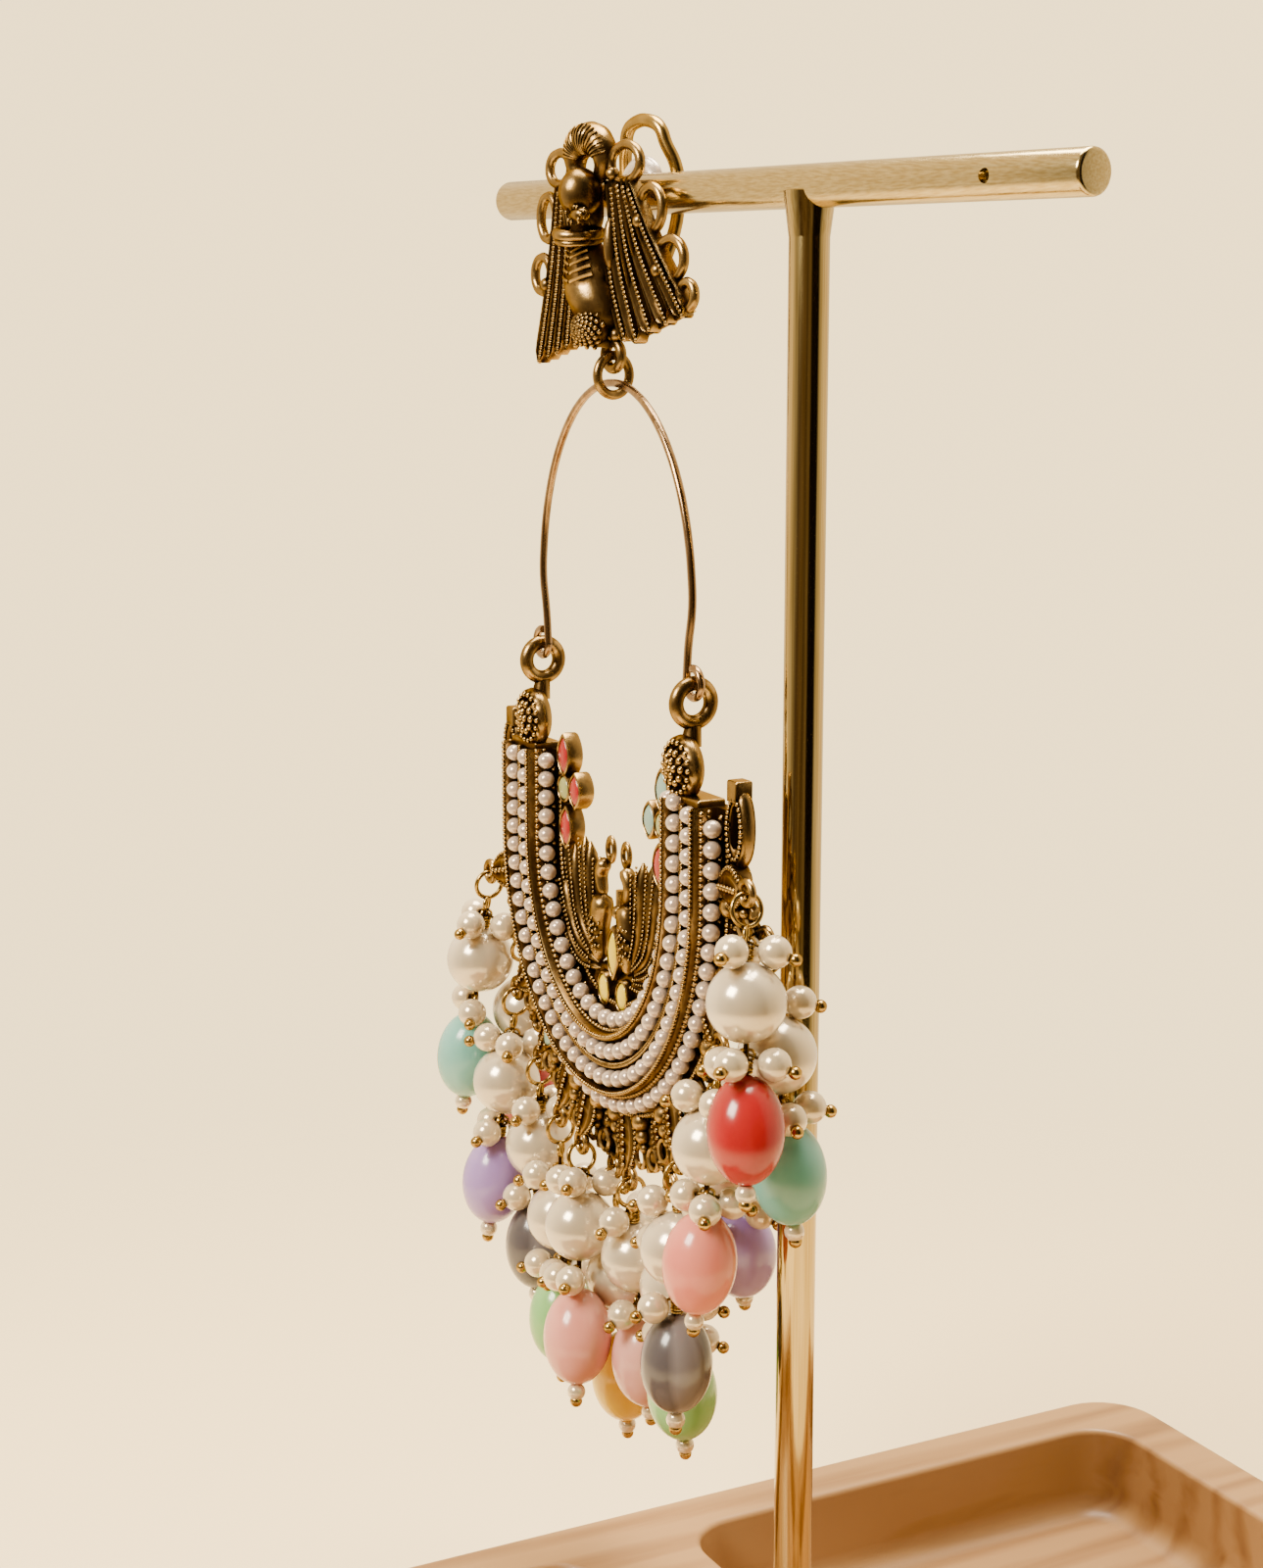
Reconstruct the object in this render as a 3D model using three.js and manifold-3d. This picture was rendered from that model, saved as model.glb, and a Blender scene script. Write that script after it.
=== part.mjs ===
// A chandelier earring clipped on a plain T-bar stand with a wooden tray base.
// Millimetres. The origin is the centre of the post, on the underside of the tray.
// +Z is up, the earring faces -Y, and the tray's short side runs along X.
import * as THREE from 'three';
import { mergeVertices } from 'three/addons/utils/BufferGeometryUtils.js';
import Module from 'manifold-3d';

const wasm = await Module();
wasm.setup();

// Gap kept between pieces that touch, thread or seat on each other
const CLEARANCE = 0.3;

// Wooden tray
const TRAY_WIDTH = 77.4;
const TRAY_LENGTH = 146;
const TRAY_HEIGHT = 18;
const TRAY_CORNER = 8;
const TRAY_EDGE = 1.5;
const RECESS_WALL = 7.5;
const RECESS_DEPTH = 11;
const RECESS_CORNER = 6;
const DIVIDER_FRONT = 9;
const DIVIDER_BACK = 4.2;
const SOCKET_DEPTH = 12;

// Brass stand
const POST_RADIUS = 1.95;
const BAR_RADIUS = 2.05;
const BAR_RISE = 150;
const BAR_LEFT = 50;
const BAR_RIGHT = 36;
const BAR_TURN = THREE.MathUtils.degToRad(8.9);
const BAR_END_ROUND = 0.4;
const DIMPLE_RADIUS = 0.65;
const DIMPLE_DEPTH = 1;
const DIMPLE_ALONG = 25;
const STAND_SIDES = 16;
const BAR_HEIGHT = TRAY_HEIGHT + BAR_RISE;

// Ear plate, in the frame of the bar: X along the bar, -Y forward, Z from the bar's axis
const PLATE_ALONG = -27.07;
const PLATE_HALF = 14;
const PLATE_FALL = 17.5;
const PLATE_SHEET = 1;
const PLATE_BACK = BAR_RADIUS + CLEARANCE;
const FEATHER_THICK = 1;
const SCROLL_WIRE = 0.5;
const FAN_RADIUS = 2.6;
const FAN_WIRE = 1.1;
const HEAD_RADIUS = 2.2;
const HANG_LOOP_FALL = 16;
const HANG_LOOP_WIRE = 0.55;

// Connector ring and wire arch
const RING_WIRE = 0.5;
const RING_RADIUS = 2;
const ARCH_WIRE = 0.425;
const ARCH_HALF = 16.8;
const ARCH_BEND_HEIGHT = 21.2;
const EYE_GAP = 0.28;

// Clip lever and pad
const LEVER_WIRE = 0.7;
const PAD_RADIUS = 3.4;
const PAD_THICK = 1.9;
const PAD_ALONG = -4.1;
const PAD_RISE = 0.8;
const LEVER_TOP = 7.3;
const HINGE_FALL = 11.5;
const HINGE_FRONT = 0.9;
const BRACKET_HALF = 1.5;
const BRACKET_WALL = 0.7;

// Crescent: a U-shaped band with a straight stretch on each leg
const CRESCENT_HALF = 17.15;
const BAND_BELOW_BAR = 68.5;
const BAND_LEG = 9.5;
const BAND_TURN_HEIGHT = BAR_HEIGHT - BAND_BELOW_BAR;
const BAND_TOP = BAND_TURN_HEIGHT + BAND_LEG;
const BAND_FALL = 20.3;
const BAND_BACK = -5.5;
const BAND_STEPS = 12;
const FLANGE_THICK = 1.5;
const CHANNEL_FLOOR = 2.5;
const RIDGE_TOP = 4.4;
const CORD_TOP = 3.9;
const ROW_RADIUS = 0.8;
const ROW_CLEARANCE = 0.4;
const INNER_RIDGE = 0.8;
const CORD_WIDTH = 0.5;
const RIM_WIDTH = 0.55;
const INNER_FLANGE = 1.8;
const OUTER_FLANGE = 0.7;
const ROW_SIDES = 8;
const ROW_STEP = 4.4;
const ROW_CENTRE = 0.1;

// Horn rings and medallions
const HORN_WIRE = 0.75;
const HORN_RADIUS = 1.95;
const MEDALLION_RADIUS = 3.25;
const MEDALLION_THICK = 2.2;
const MEDALLION_SEAT = 1.8;
const MEDALLION_RISE = 3.3;
const HORN_RISE = 9.6;
const HORN_HEIGHT = BAND_TOP + HORN_RISE;

// Stones in their settings and the two small peacocks
const STONE_HALF = 1.5;
const STONE_RISE = 1.8;
const STONE_SEAT = 0.2;
const STONE_TAPER = 0.72;
const CREST_RADIUS = 0.9;
const CREST_WIRE = 0.3;
const BIRD_BAR_THICK = 1.1;

// Rim of cast loops that carries the drops
const RIM_HALF = 28.9;
const RIM_FALL = 35.5;
const LOOP_RADIUS = 1.1;
const LOOP_WIRE = 0.4;
const LEAF_LAP = 0.3;

// Drops: a jump ring, a wire pin with an end ball, a large pearl and an oval bead
const JUMP_RADIUS = 1.6;
const JUMP_WIRE = 0.25;
const PIN_RADIUS = 0.3;
const BALL_RADIUS = 0.65;
const PEARL_RADIUS = 3.9;
const BEAD_RADIUS = 3.75;
const BEAD_HALF_HEIGHT = 5.25;
const PEARL_TO_BEAD = 12;
const BEAD_TO_BALL = 7;
const BEAD_SIDES = 10;
const BEAD_RINGS = 5;

// Places that follow from the sizes above
const HANG_FRONT = PLATE_BACK + HANG_LOOP_WIRE;
const HANG_LOOP_RADIUS = HANG_LOOP_WIRE + RING_WIRE + CLEARANCE;
const HANG_HEIGHT = BAR_HEIGHT - HANG_LOOP_FALL;
const RING_HEIGHT = HANG_HEIGHT - RING_RADIUS;
const ARCH_TOP = RING_HEIGHT - RING_RADIUS + RING_WIRE + CLEARANCE + ARCH_WIRE;
const EYE_RADIUS = HORN_WIRE + EYE_GAP + ARCH_WIRE;
const HORN_TOP_WIRE = HORN_HEIGHT + HORN_RADIUS;
const barPoint = (along, front) => new THREE.Vector3(
  along * Math.cos(BAR_TURN) + front * Math.sin(BAR_TURN),
  along * Math.sin(BAR_TURN) - front * Math.cos(BAR_TURN), BAR_HEIGHT);
const HANG = barPoint(PLATE_ALONG, HANG_FRONT);

const WALL_A = ROW_CENTRE - ROW_RADIUS - ROW_CLEARANCE - INNER_RIDGE;
const ROW_A = WALL_A - ROW_CLEARANCE - ROW_RADIUS;
const CORD_IN = ROW_CENTRE + ROW_RADIUS + ROW_CLEARANCE;
const ROW_C = CORD_IN + CORD_WIDTH + ROW_CLEARANCE + ROW_RADIUS;
const RIM_IN = ROW_C + ROW_RADIUS + ROW_CLEARANCE;
const RIM_OUT = RIM_IN + RIM_WIDTH;
const ROW_D = RIM_OUT + ROW_CLEARANCE + ROW_RADIUS;
const BAND_INNER = ROW_A - INNER_FLANGE;
const BAND_OUTER = ROW_D + ROW_RADIUS + OUTER_FLANGE;

const finish = {
  antique: { color: 0x8f6f3f, roughness: 0.38, metalness: 1 },
  findings: { color: 0xc9a050, roughness: 0.3, metalness: 1 },
  roseWire: { color: 0xd0a184, roughness: 0.25, metalness: 1 },
  brass: { color: 0xd9c08c, roughness: 0.25, metalness: 1 },
  wood: { color: 0xd3a06c, roughness: 0.55, metalness: 0 },
  pearl: { color: 0xf0e4d0, roughness: 0.25, metalness: 0 },
  pinkPearl: { color: 0xe6cfc6, roughness: 0.3, metalness: 0 },
  pad: { color: 0xf4efe9, roughness: 0.35, metalness: 0 },
};
const beadColours = {
  red: 0xd83e3e, teal: 0x8fcfc4, lavender: 0xb9a5cd, pink: 0xebaaa0, grey: 0x787073,
  green: 0xa5d79b, palePink: 0xe8c3be, yellow: 0xf8b91e, lightPink: 0xe9b7b2,
};

// Joining and cutting
function solidOf(geometry) {
  const bare = geometry.clone();
  bare.deleteAttribute('normal');
  if (bare.getAttribute('uv')) bare.deleteAttribute('uv');
  const merged = mergeVertices(bare, 1e-4);
  const index = merged.index.array;
  const kept = [];
  for (let i = 0; i < index.length; i += 3) {
    const [a, b, c] = [index[i], index[i + 1], index[i + 2]];
    if (a !== b && b !== c && c !== a) kept.push(a, b, c);
  }
  const mesh = new wasm.Mesh({
    numProp: 3,
    vertProperties: new Float32Array(merged.getAttribute('position').array),
    triVerts: new Uint32Array(kept),
  });
  mesh.merge();
  return new wasm.Manifold(mesh);
}

function geometryOf(solid) {
  const mesh = solid.getMesh();
  const geometry = new THREE.BufferGeometry();
  geometry.setAttribute('position', new THREE.BufferAttribute(new Float32Array(mesh.vertProperties), 3));
  geometry.setIndex(new THREE.BufferAttribute(new Uint32Array(mesh.triVerts), 1));
  geometry.computeVertexNormals();
  return geometry;
}

const fuse = (pieces) => geometryOf(pieces.map(solidOf).reduce((all, piece) => all.add(piece)));

function cut(body, tools) {
  return geometryOf(tools.map(solidOf).reduce((rest, tool) => rest.subtract(tool), solidOf(body)));
}

// Placing
function moved(geometry, x, y, z, turn = [0, 0, 0], scale = [1, 1, 1]) {
  const matrix = new THREE.Matrix4().compose(
    new THREE.Vector3(x, y, z),
    new THREE.Quaternion().setFromEuler(new THREE.Euler(...turn)),
    new THREE.Vector3(...scale));
  return geometry.clone().applyMatrix4(matrix);
}

const QUARTER = Math.PI / 2;

// Basic forms
const torus = (radius, wire, wireSides, sides) => new THREE.TorusGeometry(radius, wire, wireSides, sides);
const ball = (radius, across = 6, up = 4) => new THREE.SphereGeometry(radius, across, up);
const box = (x, y, z) => new THREE.BoxGeometry(x, y, z);

function rod(radius, height, sides) {
  return new THREE.CylinderGeometry(radius, radius, height, sides).rotateX(QUARTER);
}

function tube(points, radius, sides, steps) {
  const path = new THREE.CatmullRomCurve3(points, false, 'centripetal');
  const section = new THREE.Shape();
  for (let i = 0; i < sides; i += 1) {
    const angle = (i / sides) * 2 * Math.PI;
    const [x, y] = [radius * Math.cos(angle), radius * Math.sin(angle)];
    if (i) section.lineTo(x, y);
    else section.moveTo(x, y);
  }
  section.closePath();
  return new THREE.ExtrudeGeometry(section, { extrudePath: path, steps, bevelEnabled: false });
}

// A section of [across, out] pairs carried through stations, each with its origin and two directions
function sweep(section, stations) {
  const points = [];
  for (const { origin, across, out } of stations) {
    for (const [a, o] of section) {
      points.push(origin.clone().addScaledVector(across, a).addScaledVector(out, o));
    }
  }
  const count = section.length;
  const triangles = [];
  for (let s = 0; s + 1 < stations.length; s += 1) {
    for (let i = 0; i < count; i += 1) {
      const j = (i + 1) % count;
      const [a, b, c, d] = [s * count + i, s * count + j, (s + 1) * count + j, (s + 1) * count + i];
      triangles.push(a, b, c, a, c, d);
    }
  }
  const outline = section.map(([a, o]) => new THREE.Vector2(a, o));
  const last = (stations.length - 1) * count;
  const turning = THREE.ShapeUtils.area(outline) > 0;
  for (const [a, b, c] of THREE.ShapeUtils.triangulateShape(outline, [])) {
    const [first, second, third] = turning ? [a, c, b] : [a, b, c];
    triangles.push(first, second, third, last + first, last + third, last + second);
  }
  const geometry = new THREE.BufferGeometry().setFromPoints(points);
  geometry.setIndex(turning ? triangles : triangles.map((v, i) => triangles[i - (i % 3) + [0, 2, 1][i % 3]]));
  geometry.computeVertexNormals();
  return facingOut(geometry);
}

// Turns the faces of a closed mesh outwards
function facingOut(geometry) {
  const position = geometry.getAttribute('position');
  const index = geometry.index.array;
  const corner = (i) => new THREE.Vector3().fromBufferAttribute(position, index[i]);
  let volume = 0;
  for (let i = 0; i < index.length; i += 3) {
    volume += corner(i).dot(corner(i + 1).cross(corner(i + 2)));
  }
  if (volume < 0) {
    for (let i = 0; i < index.length; i += 3) [index[i + 1], index[i + 2]] = [index[i + 2], index[i + 1]];
    geometry.computeVertexNormals();
  }
  return geometry;
}

function roundedRectangle(width, length, corner) {
  const [x, y] = [width / 2, length / 2];
  const shape = new THREE.Shape();
  shape.moveTo(x - corner, -y);
  shape.absarc(x - corner, -y + corner, corner, -QUARTER, 0);
  shape.absarc(x - corner, y - corner, corner, 0, QUARTER);
  shape.absarc(-x + corner, y - corner, corner, QUARTER, 2 * QUARTER);
  shape.absarc(-x + corner, -y + corner, corner, 2 * QUARTER, 3 * QUARTER);
  return shape;
}

// Regular outline of a wire or bead section
function round(sides, across = 1, out = 1) {
  return Array.from({ length: sides }, (_, i) => {
    const angle = ((i + 0.5) / sides) * 2 * Math.PI;
    return [across * Math.cos(angle), out * Math.sin(angle)];
  });
}

// Tray
function trayBase() {
  const body = new THREE.ExtrudeGeometry(
    roundedRectangle(TRAY_WIDTH - 2 * TRAY_EDGE, TRAY_LENGTH - 2 * TRAY_EDGE, TRAY_CORNER - TRAY_EDGE),
    { depth: TRAY_HEIGHT - 2 * TRAY_EDGE, bevelThickness: TRAY_EDGE, bevelSize: TRAY_EDGE,
      bevelSegments: 1, curveSegments: 2 }).translate(0, 0, TRAY_EDGE);
  const recess = (from, to) => new THREE.ExtrudeGeometry(
    roundedRectangle(TRAY_WIDTH - 2 * RECESS_WALL, to - from, RECESS_CORNER),
    { depth: RECESS_DEPTH + 1, bevelEnabled: false, curveSegments: 2 })
    .translate(0, (from + to) / 2, TRAY_HEIGHT - RECESS_DEPTH);
  const end = TRAY_LENGTH / 2 - RECESS_WALL;
  const socket = rod(POST_RADIUS + CLEARANCE, SOCKET_DEPTH + 1, STAND_SIDES)
    .translate(0, 0, TRAY_HEIGHT - SOCKET_DEPTH + (SOCKET_DEPTH + 1) / 2);
  return cut(body, [recess(DIVIDER_BACK, end), recess(-end, -DIVIDER_FRONT), socket]);
}

// Stand: the post is welded to the bar
function standTBar() {
  const foot = TRAY_HEIGHT - SOCKET_DEPTH + CLEARANCE;
  const post = rod(POST_RADIUS, BAR_HEIGHT - foot, STAND_SIDES).translate(0, 0, (BAR_HEIGHT + foot) / 2);
  const profile = [
    [0, -BAR_LEFT], [BAR_RADIUS - BAR_END_ROUND, -BAR_LEFT], [BAR_RADIUS, -BAR_LEFT + BAR_END_ROUND],
    [BAR_RADIUS, BAR_RIGHT], [0, BAR_RIGHT],
  ].map(([x, y]) => new THREE.Vector2(x, y));
  const bar = new THREE.LatheGeometry(profile, STAND_SIDES).rotateZ(-QUARTER);
  const dimple = rod(DIMPLE_RADIUS, 2 * DIMPLE_DEPTH, 8).rotateX(QUARTER)
    .translate(DIMPLE_ALONG, -BAR_RADIUS, 0);
  const turned = cut(bar, [dimple]).rotateZ(BAR_TURN).translate(0, 0, BAR_HEIGHT);
  return fuse([post, turned]);
}

// Ear plate: tips and roots of the feathers, as shares of the plate's half width and of its fall
const FEATHERS = [
  { root: [-0.6, 0.05], bend: [-0.7, -0.45], tip: [-0.87, -0.97], half: 0.062 },
  { root: [-0.55, 0.06], bend: [-0.61, -0.45], tip: [-0.75, -0.95], half: 0.062 },
  { root: [-0.49, 0.06], bend: [-0.52, -0.45], tip: [-0.63, -0.92], half: 0.062 },
  { root: [-0.43, 0.05], bend: [-0.43, -0.45], tip: [-0.51, -0.89], half: 0.062 },
  { root: [-0.38, 0.03], bend: [-0.36, -0.45], tip: [-0.4, -0.86], half: 0.06 },
  { root: [0.0, -0.3], bend: [0.08, -0.55], tip: [0.22, -0.83], half: 0.06 },
  { root: [0.05, 0.06], bend: [0.15, -0.4], tip: [0.36, -0.84], half: 0.085 },
  { root: [0.12, 0.07], bend: [0.26, -0.36], tip: [0.52, -0.78], half: 0.085 },
  { root: [0.18, 0.06], bend: [0.38, -0.32], tip: [0.71, -0.73], half: 0.085 },
  { root: [0.24, 0.04], bend: [0.5, -0.28], tip: [0.9, -0.69], half: 0.075 },
];

// Scroll loops: centre and half size, as the same shares, and whether a small ball sits inside
const SCROLLS = [
  { at: [-0.64, 0.16], half: [0.17, 0.12] },
  { at: [-0.79, -0.12], half: [0.14, 0.155] },
  { at: [-0.87, -0.45], half: [0.14, 0.13], ball: true },
  { at: [0.17, 0.17], half: [0.21, 0.13] },
  { at: [0.47, -0.09], half: [0.17, 0.15], ball: true },
  { at: [0.7, -0.37], half: [0.19, 0.14] },
  { at: [0.89, -0.57], half: [0.12, 0.1] },
];

// Sheet outline behind both wings, as the same shares
const WINGS = [
  [[-0.64, 0.06], [-0.7, -0.2], [-0.78, -0.5], [-0.92, -0.93], [-0.37, -0.84], [-0.25, -0.75],
    [-0.2, -0.3], [-0.3, 0.08]],
  [[-0.12, 0.08], [0.24, 0.07], [0.42, -0.18], [0.6, -0.4], [0.93, -0.66], [0.3, -0.82],
    [0.02, -0.7], [0.0, -0.35]],
];

// Body of the bird from its crown to its tail: place, half width and height of relief
const BIRD = [
  { at: [-0.22, 0.12], half: 0.02, relief: 1.2 },
  { at: [-0.24, 0.02], half: 0.13, relief: 2.6 },
  { at: [-0.29, -0.16], half: 0.13, relief: 2.2 },
  { at: [-0.29, -0.24], half: 0.15, relief: 2.4 },
  { at: [-0.18, -0.6], half: 0.19, relief: 2.5 },
  { at: [-0.1, -0.78], half: 0.15, relief: 2.2 },
  { at: [-0.05, -0.87], half: 0.05, relief: 1.4 },
];

const platePoint = ([across, up], front) => new THREE.Vector3(
  across * PLATE_HALF, -(PLATE_BACK + front), up * PLATE_FALL);

function feather({ root, bend, tip, half }) {
  const width = half * PLATE_HALF;
  const places = [[root, 0.7], [bend, 0.9], [tip, 1]];
  const stations = places.map(([place, share]) => ({
    origin: platePoint(place, PLATE_SHEET * 0.8),
    across: new THREE.Vector3(width * share, 0, width * share * 0.2 * Math.sign(tip[0])),
    out: new THREE.Vector3(0, -FEATHER_THICK * share, 0),
  }));
  const end = stations[2];
  const beyond = end.origin.clone().add(
    end.origin.clone().sub(stations[1].origin).normalize().multiplyScalar(width));
  stations.push({ origin: beyond, across: end.across.clone().multiplyScalar(0.45), out: end.out });
  return sweep(round(5), stations);
}

function scroll({ at, half }) {
  const wideRadius = half[0] * PLATE_HALF - SCROLL_WIRE;
  const tallRadius = half[1] * PLATE_FALL - SCROLL_WIRE;
  const place = platePoint(at, SCROLL_WIRE + 0.2);
  return moved(torus(1, SCROLL_WIRE / wideRadius, 4, 8), place.x, place.y, place.z,
    [QUARTER, 0, 0], [wideRadius, tallRadius, wideRadius]);
}

function earPlate() {
  const sheets = WINGS.map((outline) => {
    const shape = new THREE.Shape(outline.map(([a, u]) => new THREE.Vector2(a * PLATE_HALF, u * PLATE_FALL)));
    return new THREE.ExtrudeGeometry(shape, { depth: PLATE_SHEET, bevelEnabled: false })
      .rotateX(QUARTER).translate(0, -PLATE_BACK, 0);
  });
  const bird = sweep(round(6), BIRD.map(({ at, half, relief }) => ({
    origin: platePoint(at, 1),
    across: new THREE.Vector3(half * PLATE_HALF, 0, 0),
    out: new THREE.Vector3(0, -relief, 0),
  })));
  const trim = [];
  for (const { at, half, ball: dotted } of SCROLLS) {
    if (!dotted) continue;
    const place = platePoint([at[0] - Math.sign(at[0]) * half[0] * 0.75, at[1] - half[1] * 0.5], 0.9);
    trim.push(moved(ball(0.8), place.x, place.y, place.z));
  }
  const fan = platePoint([-0.25, 0.18], FAN_WIRE * 0.7);
  const fanLoop = moved(torus(FAN_RADIUS, FAN_WIRE, 5, 9), fan.x, fan.y, fan.z, [QUARTER, 0, 0], [1, 0.75, 0.7]);
  const head = platePoint([-0.23, 0.01], 2.1);
  const beak = platePoint([-0.12, -0.12], 2.9);
  const hang = moved(torus(HANG_LOOP_RADIUS, HANG_LOOP_WIRE, 5, 10),
    0, -HANG_FRONT, -HANG_LOOP_FALL, [QUARTER, 0, 0]);
  const neck = box(1.5, 1.2, 1.6).translate(0, -HANG_FRONT - 0.2,
    -HANG_LOOP_FALL + HANG_LOOP_RADIUS + HANG_LOOP_WIRE + 0.4);
  const joined = fuse([...sheets, ...FEATHERS.map(feather), ...SCROLLS.map(scroll), ...trim, bird, fanLoop,
    moved(ball(HEAD_RADIUS, 8, 5), head.x, head.y, head.z),
    moved(ball(0.9), beak.x, beak.y, beak.z, [0, 0, 0], [1.6, 1, 0.8]),
    hang, neck]);
  const flatBacked = cut(joined, [behindPlate()]);
  return cut(fuse([flatBacked, hingeBracket()]), [hingeBore()]);
}

// Everything behind the plate's flat back, which clears the bar
function behindPlate() {
  return box(4 * PLATE_HALF, 2 * PLATE_BACK, 4 * PLATE_FALL);
}

// Bracket on the plate's back that carries the clip's hinge
function hingeBracket() {
  const reach = PLATE_BACK + 0.6 - HINGE_FRONT + LEVER_WIRE + CLEARANCE + BRACKET_WALL;
  const size = 2 * (LEVER_WIRE + CLEARANCE + BRACKET_WALL);
  return box(2 * BRACKET_HALF, reach, size).translate(PAD_ALONG, -PLATE_BACK - 0.6 + reach / 2, -HINGE_FALL);
}

function hingeBore() {
  return rod(LEVER_WIRE + CLEARANCE, 2 * BRACKET_HALF + 1, 8).rotateY(QUARTER)
    .translate(PAD_ALONG, -HINGE_FRONT, -HINGE_FALL);
}

// Clip lever: two bent legs that meet over the bar and on the hinge, and a cross wire behind the pad
const LEG_HALF = PAD_RADIUS + CLEARANCE + LEVER_WIRE;
const PAD_BACK = BAR_RADIUS + CLEARANCE + PAD_THICK;
const CROSS_BACK = PAD_BACK + CLEARANCE + LEVER_WIRE;

function clipLoop() {
  const pinHalf = BRACKET_HALF + CLEARANCE + 0.2;
  const pin = rod(LEVER_WIRE, 2 * pinHalf + 0.4, 8).rotateY(QUARTER)
    .translate(PAD_ALONG, -HINGE_FRONT, -HINGE_FALL);
  const leg = (side) => {
    const x = (share) => PAD_ALONG + side * LEG_HALF * share;
    const point = (share, back, up) => new THREE.Vector3(x(share), back, up);
    return tube([
      point(pinHalf / LEG_HALF, -HINGE_FRONT, -HINGE_FALL),
      point(0.8, -HINGE_FRONT, -HINGE_FALL),
      point(0.98, -HINGE_FRONT + 0.9, -HINGE_FALL + 0.8),
      point(1, CROSS_BACK * 0.62, -HINGE_FALL * 0.58),
      point(1, CROSS_BACK, PAD_RISE - 1),
      point(0.98, CROSS_BACK - 0.4, LEVER_TOP * 0.42),
      point(0.78, CROSS_BACK - 1, LEVER_TOP * 0.72),
      point(0.62, CROSS_BACK - 1.2, LEVER_TOP * 0.93),
      point(0.25, CROSS_BACK - 1.3, LEVER_TOP + 0.25),
      point(-0.04, CROSS_BACK - 1.3, LEVER_TOP + 0.3),
    ], LEVER_WIRE, 5, 11);
  };
  const cross = rod(LEVER_WIRE * 0.9, 2 * LEG_HALF, 6).rotateY(QUARTER).translate(PAD_ALONG, CROSS_BACK, PAD_RISE);
  return fuse([pin, leg(-1), leg(1), cross]);
}

function clipPad() {
  const steps = [[0, 0], [0.55, 0.12], [0.86, 0.42], [1, 0.8], [0.97, 1], [0, 1]];
  const profile = steps.map(([r, t]) => new THREE.Vector2(r * PAD_RADIUS, t * PAD_THICK));
  return new THREE.LatheGeometry(profile, 12)
    .translate(0, BAR_RADIUS + CLEARANCE, 0).translate(PAD_ALONG, 0, PAD_RISE);
}

// Arch: half an ellipse, two short legs and two eyes round the horn rings, drawn about its top point
const archTopToEye = ARCH_TOP - HORN_TOP_WIRE;

function archWire() {
  const bow = [];
  const legX = CRESCENT_HALF - EYE_RADIUS;
  for (let degrees = 0; degrees <= 180; degrees += 15) {
    const angle = THREE.MathUtils.degToRad(degrees);
    bow.push(new THREE.Vector3(ARCH_HALF * Math.cos(angle), 0, -ARCH_BEND_HEIGHT * (1 - Math.sin(angle))));
  }
  const foot = (side) => [
    new THREE.Vector3(side * (legX + 0.35), 0, -archTopToEye + 3.5),
    new THREE.Vector3(side * legX, 0, -archTopToEye),
  ];
  const eye = (side) => {
    const points = [];
    for (let degrees = 180; degrees <= 460; degrees += 35) {
      const angle = THREE.MathUtils.degToRad(degrees);
      points.push(new THREE.Vector3(side * (CRESCENT_HALF + EYE_RADIUS * Math.cos(angle)), 0,
        -archTopToEye + EYE_RADIUS * Math.sin(angle)));
    }
    points.unshift(new THREE.Vector3(side * legX, 0, -archTopToEye + 0.3));
    return tube(points, ARCH_WIRE, 6, 9);
  };
  return fuse([tube([...foot(1).reverse(), ...bow, ...foot(-1)], ARCH_WIRE, 6, 22), eye(1), eye(-1)]);
}

// Crescent in its own frame: x from its middle, y from the hanging plane, z the real height.
// An angle of 0 is the bottom of the U, 90 the turn into the right leg.
const radians = THREE.MathUtils.degToRad;

function bandStation(degrees) {
  const [sin, cos] = [Math.sin(radians(degrees)), Math.cos(radians(degrees))];
  const outward = new THREE.Vector2(BAND_FALL * sin, -CRESCENT_HALF * cos).normalize();
  return { x: CRESCENT_HALF * sin, z: BAND_TURN_HEIGHT - BAND_FALL * cos, outX: outward.x, outZ: outward.y };
}

function bandStations() {
  const leg = (side) => ({ x: side * CRESCENT_HALF, z: BAND_TOP, outX: side, outZ: 0 });
  const turn = [];
  for (let i = 0; i <= BAND_STEPS; i += 1) turn.push(bandStation(-90 + (180 * i) / BAND_STEPS));
  return [leg(-1), ...turn, leg(1)];
}

const frontOf = (front) => BAND_BACK - HANG.y - front;

function band() {
  const section = [
    [BAND_INNER, 0], [BAND_OUTER, 0], [BAND_OUTER, FLANGE_THICK], [RIM_OUT, FLANGE_THICK],
    [RIM_OUT, RIDGE_TOP], [RIM_IN, RIDGE_TOP], [RIM_IN, CHANNEL_FLOOR],
    [CORD_IN + CORD_WIDTH, CHANNEL_FLOOR], [CORD_IN + CORD_WIDTH, CORD_TOP], [CORD_IN, CORD_TOP],
    [CORD_IN, CHANNEL_FLOOR], [WALL_A + INNER_RIDGE, CHANNEL_FLOOR],
    [WALL_A + INNER_RIDGE, RIDGE_TOP], [WALL_A, RIDGE_TOP], [WALL_A, FLANGE_THICK], [BAND_INNER, FLANGE_THICK],
  ];
  return sweep(section, bandStations().map(({ x, z, outX, outZ }) => ({
    origin: new THREE.Vector3(x, frontOf(0), z),
    across: new THREE.Vector3(outX, 0, outZ),
    out: new THREE.Vector3(0, -1, 0),
  })));
}

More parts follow.
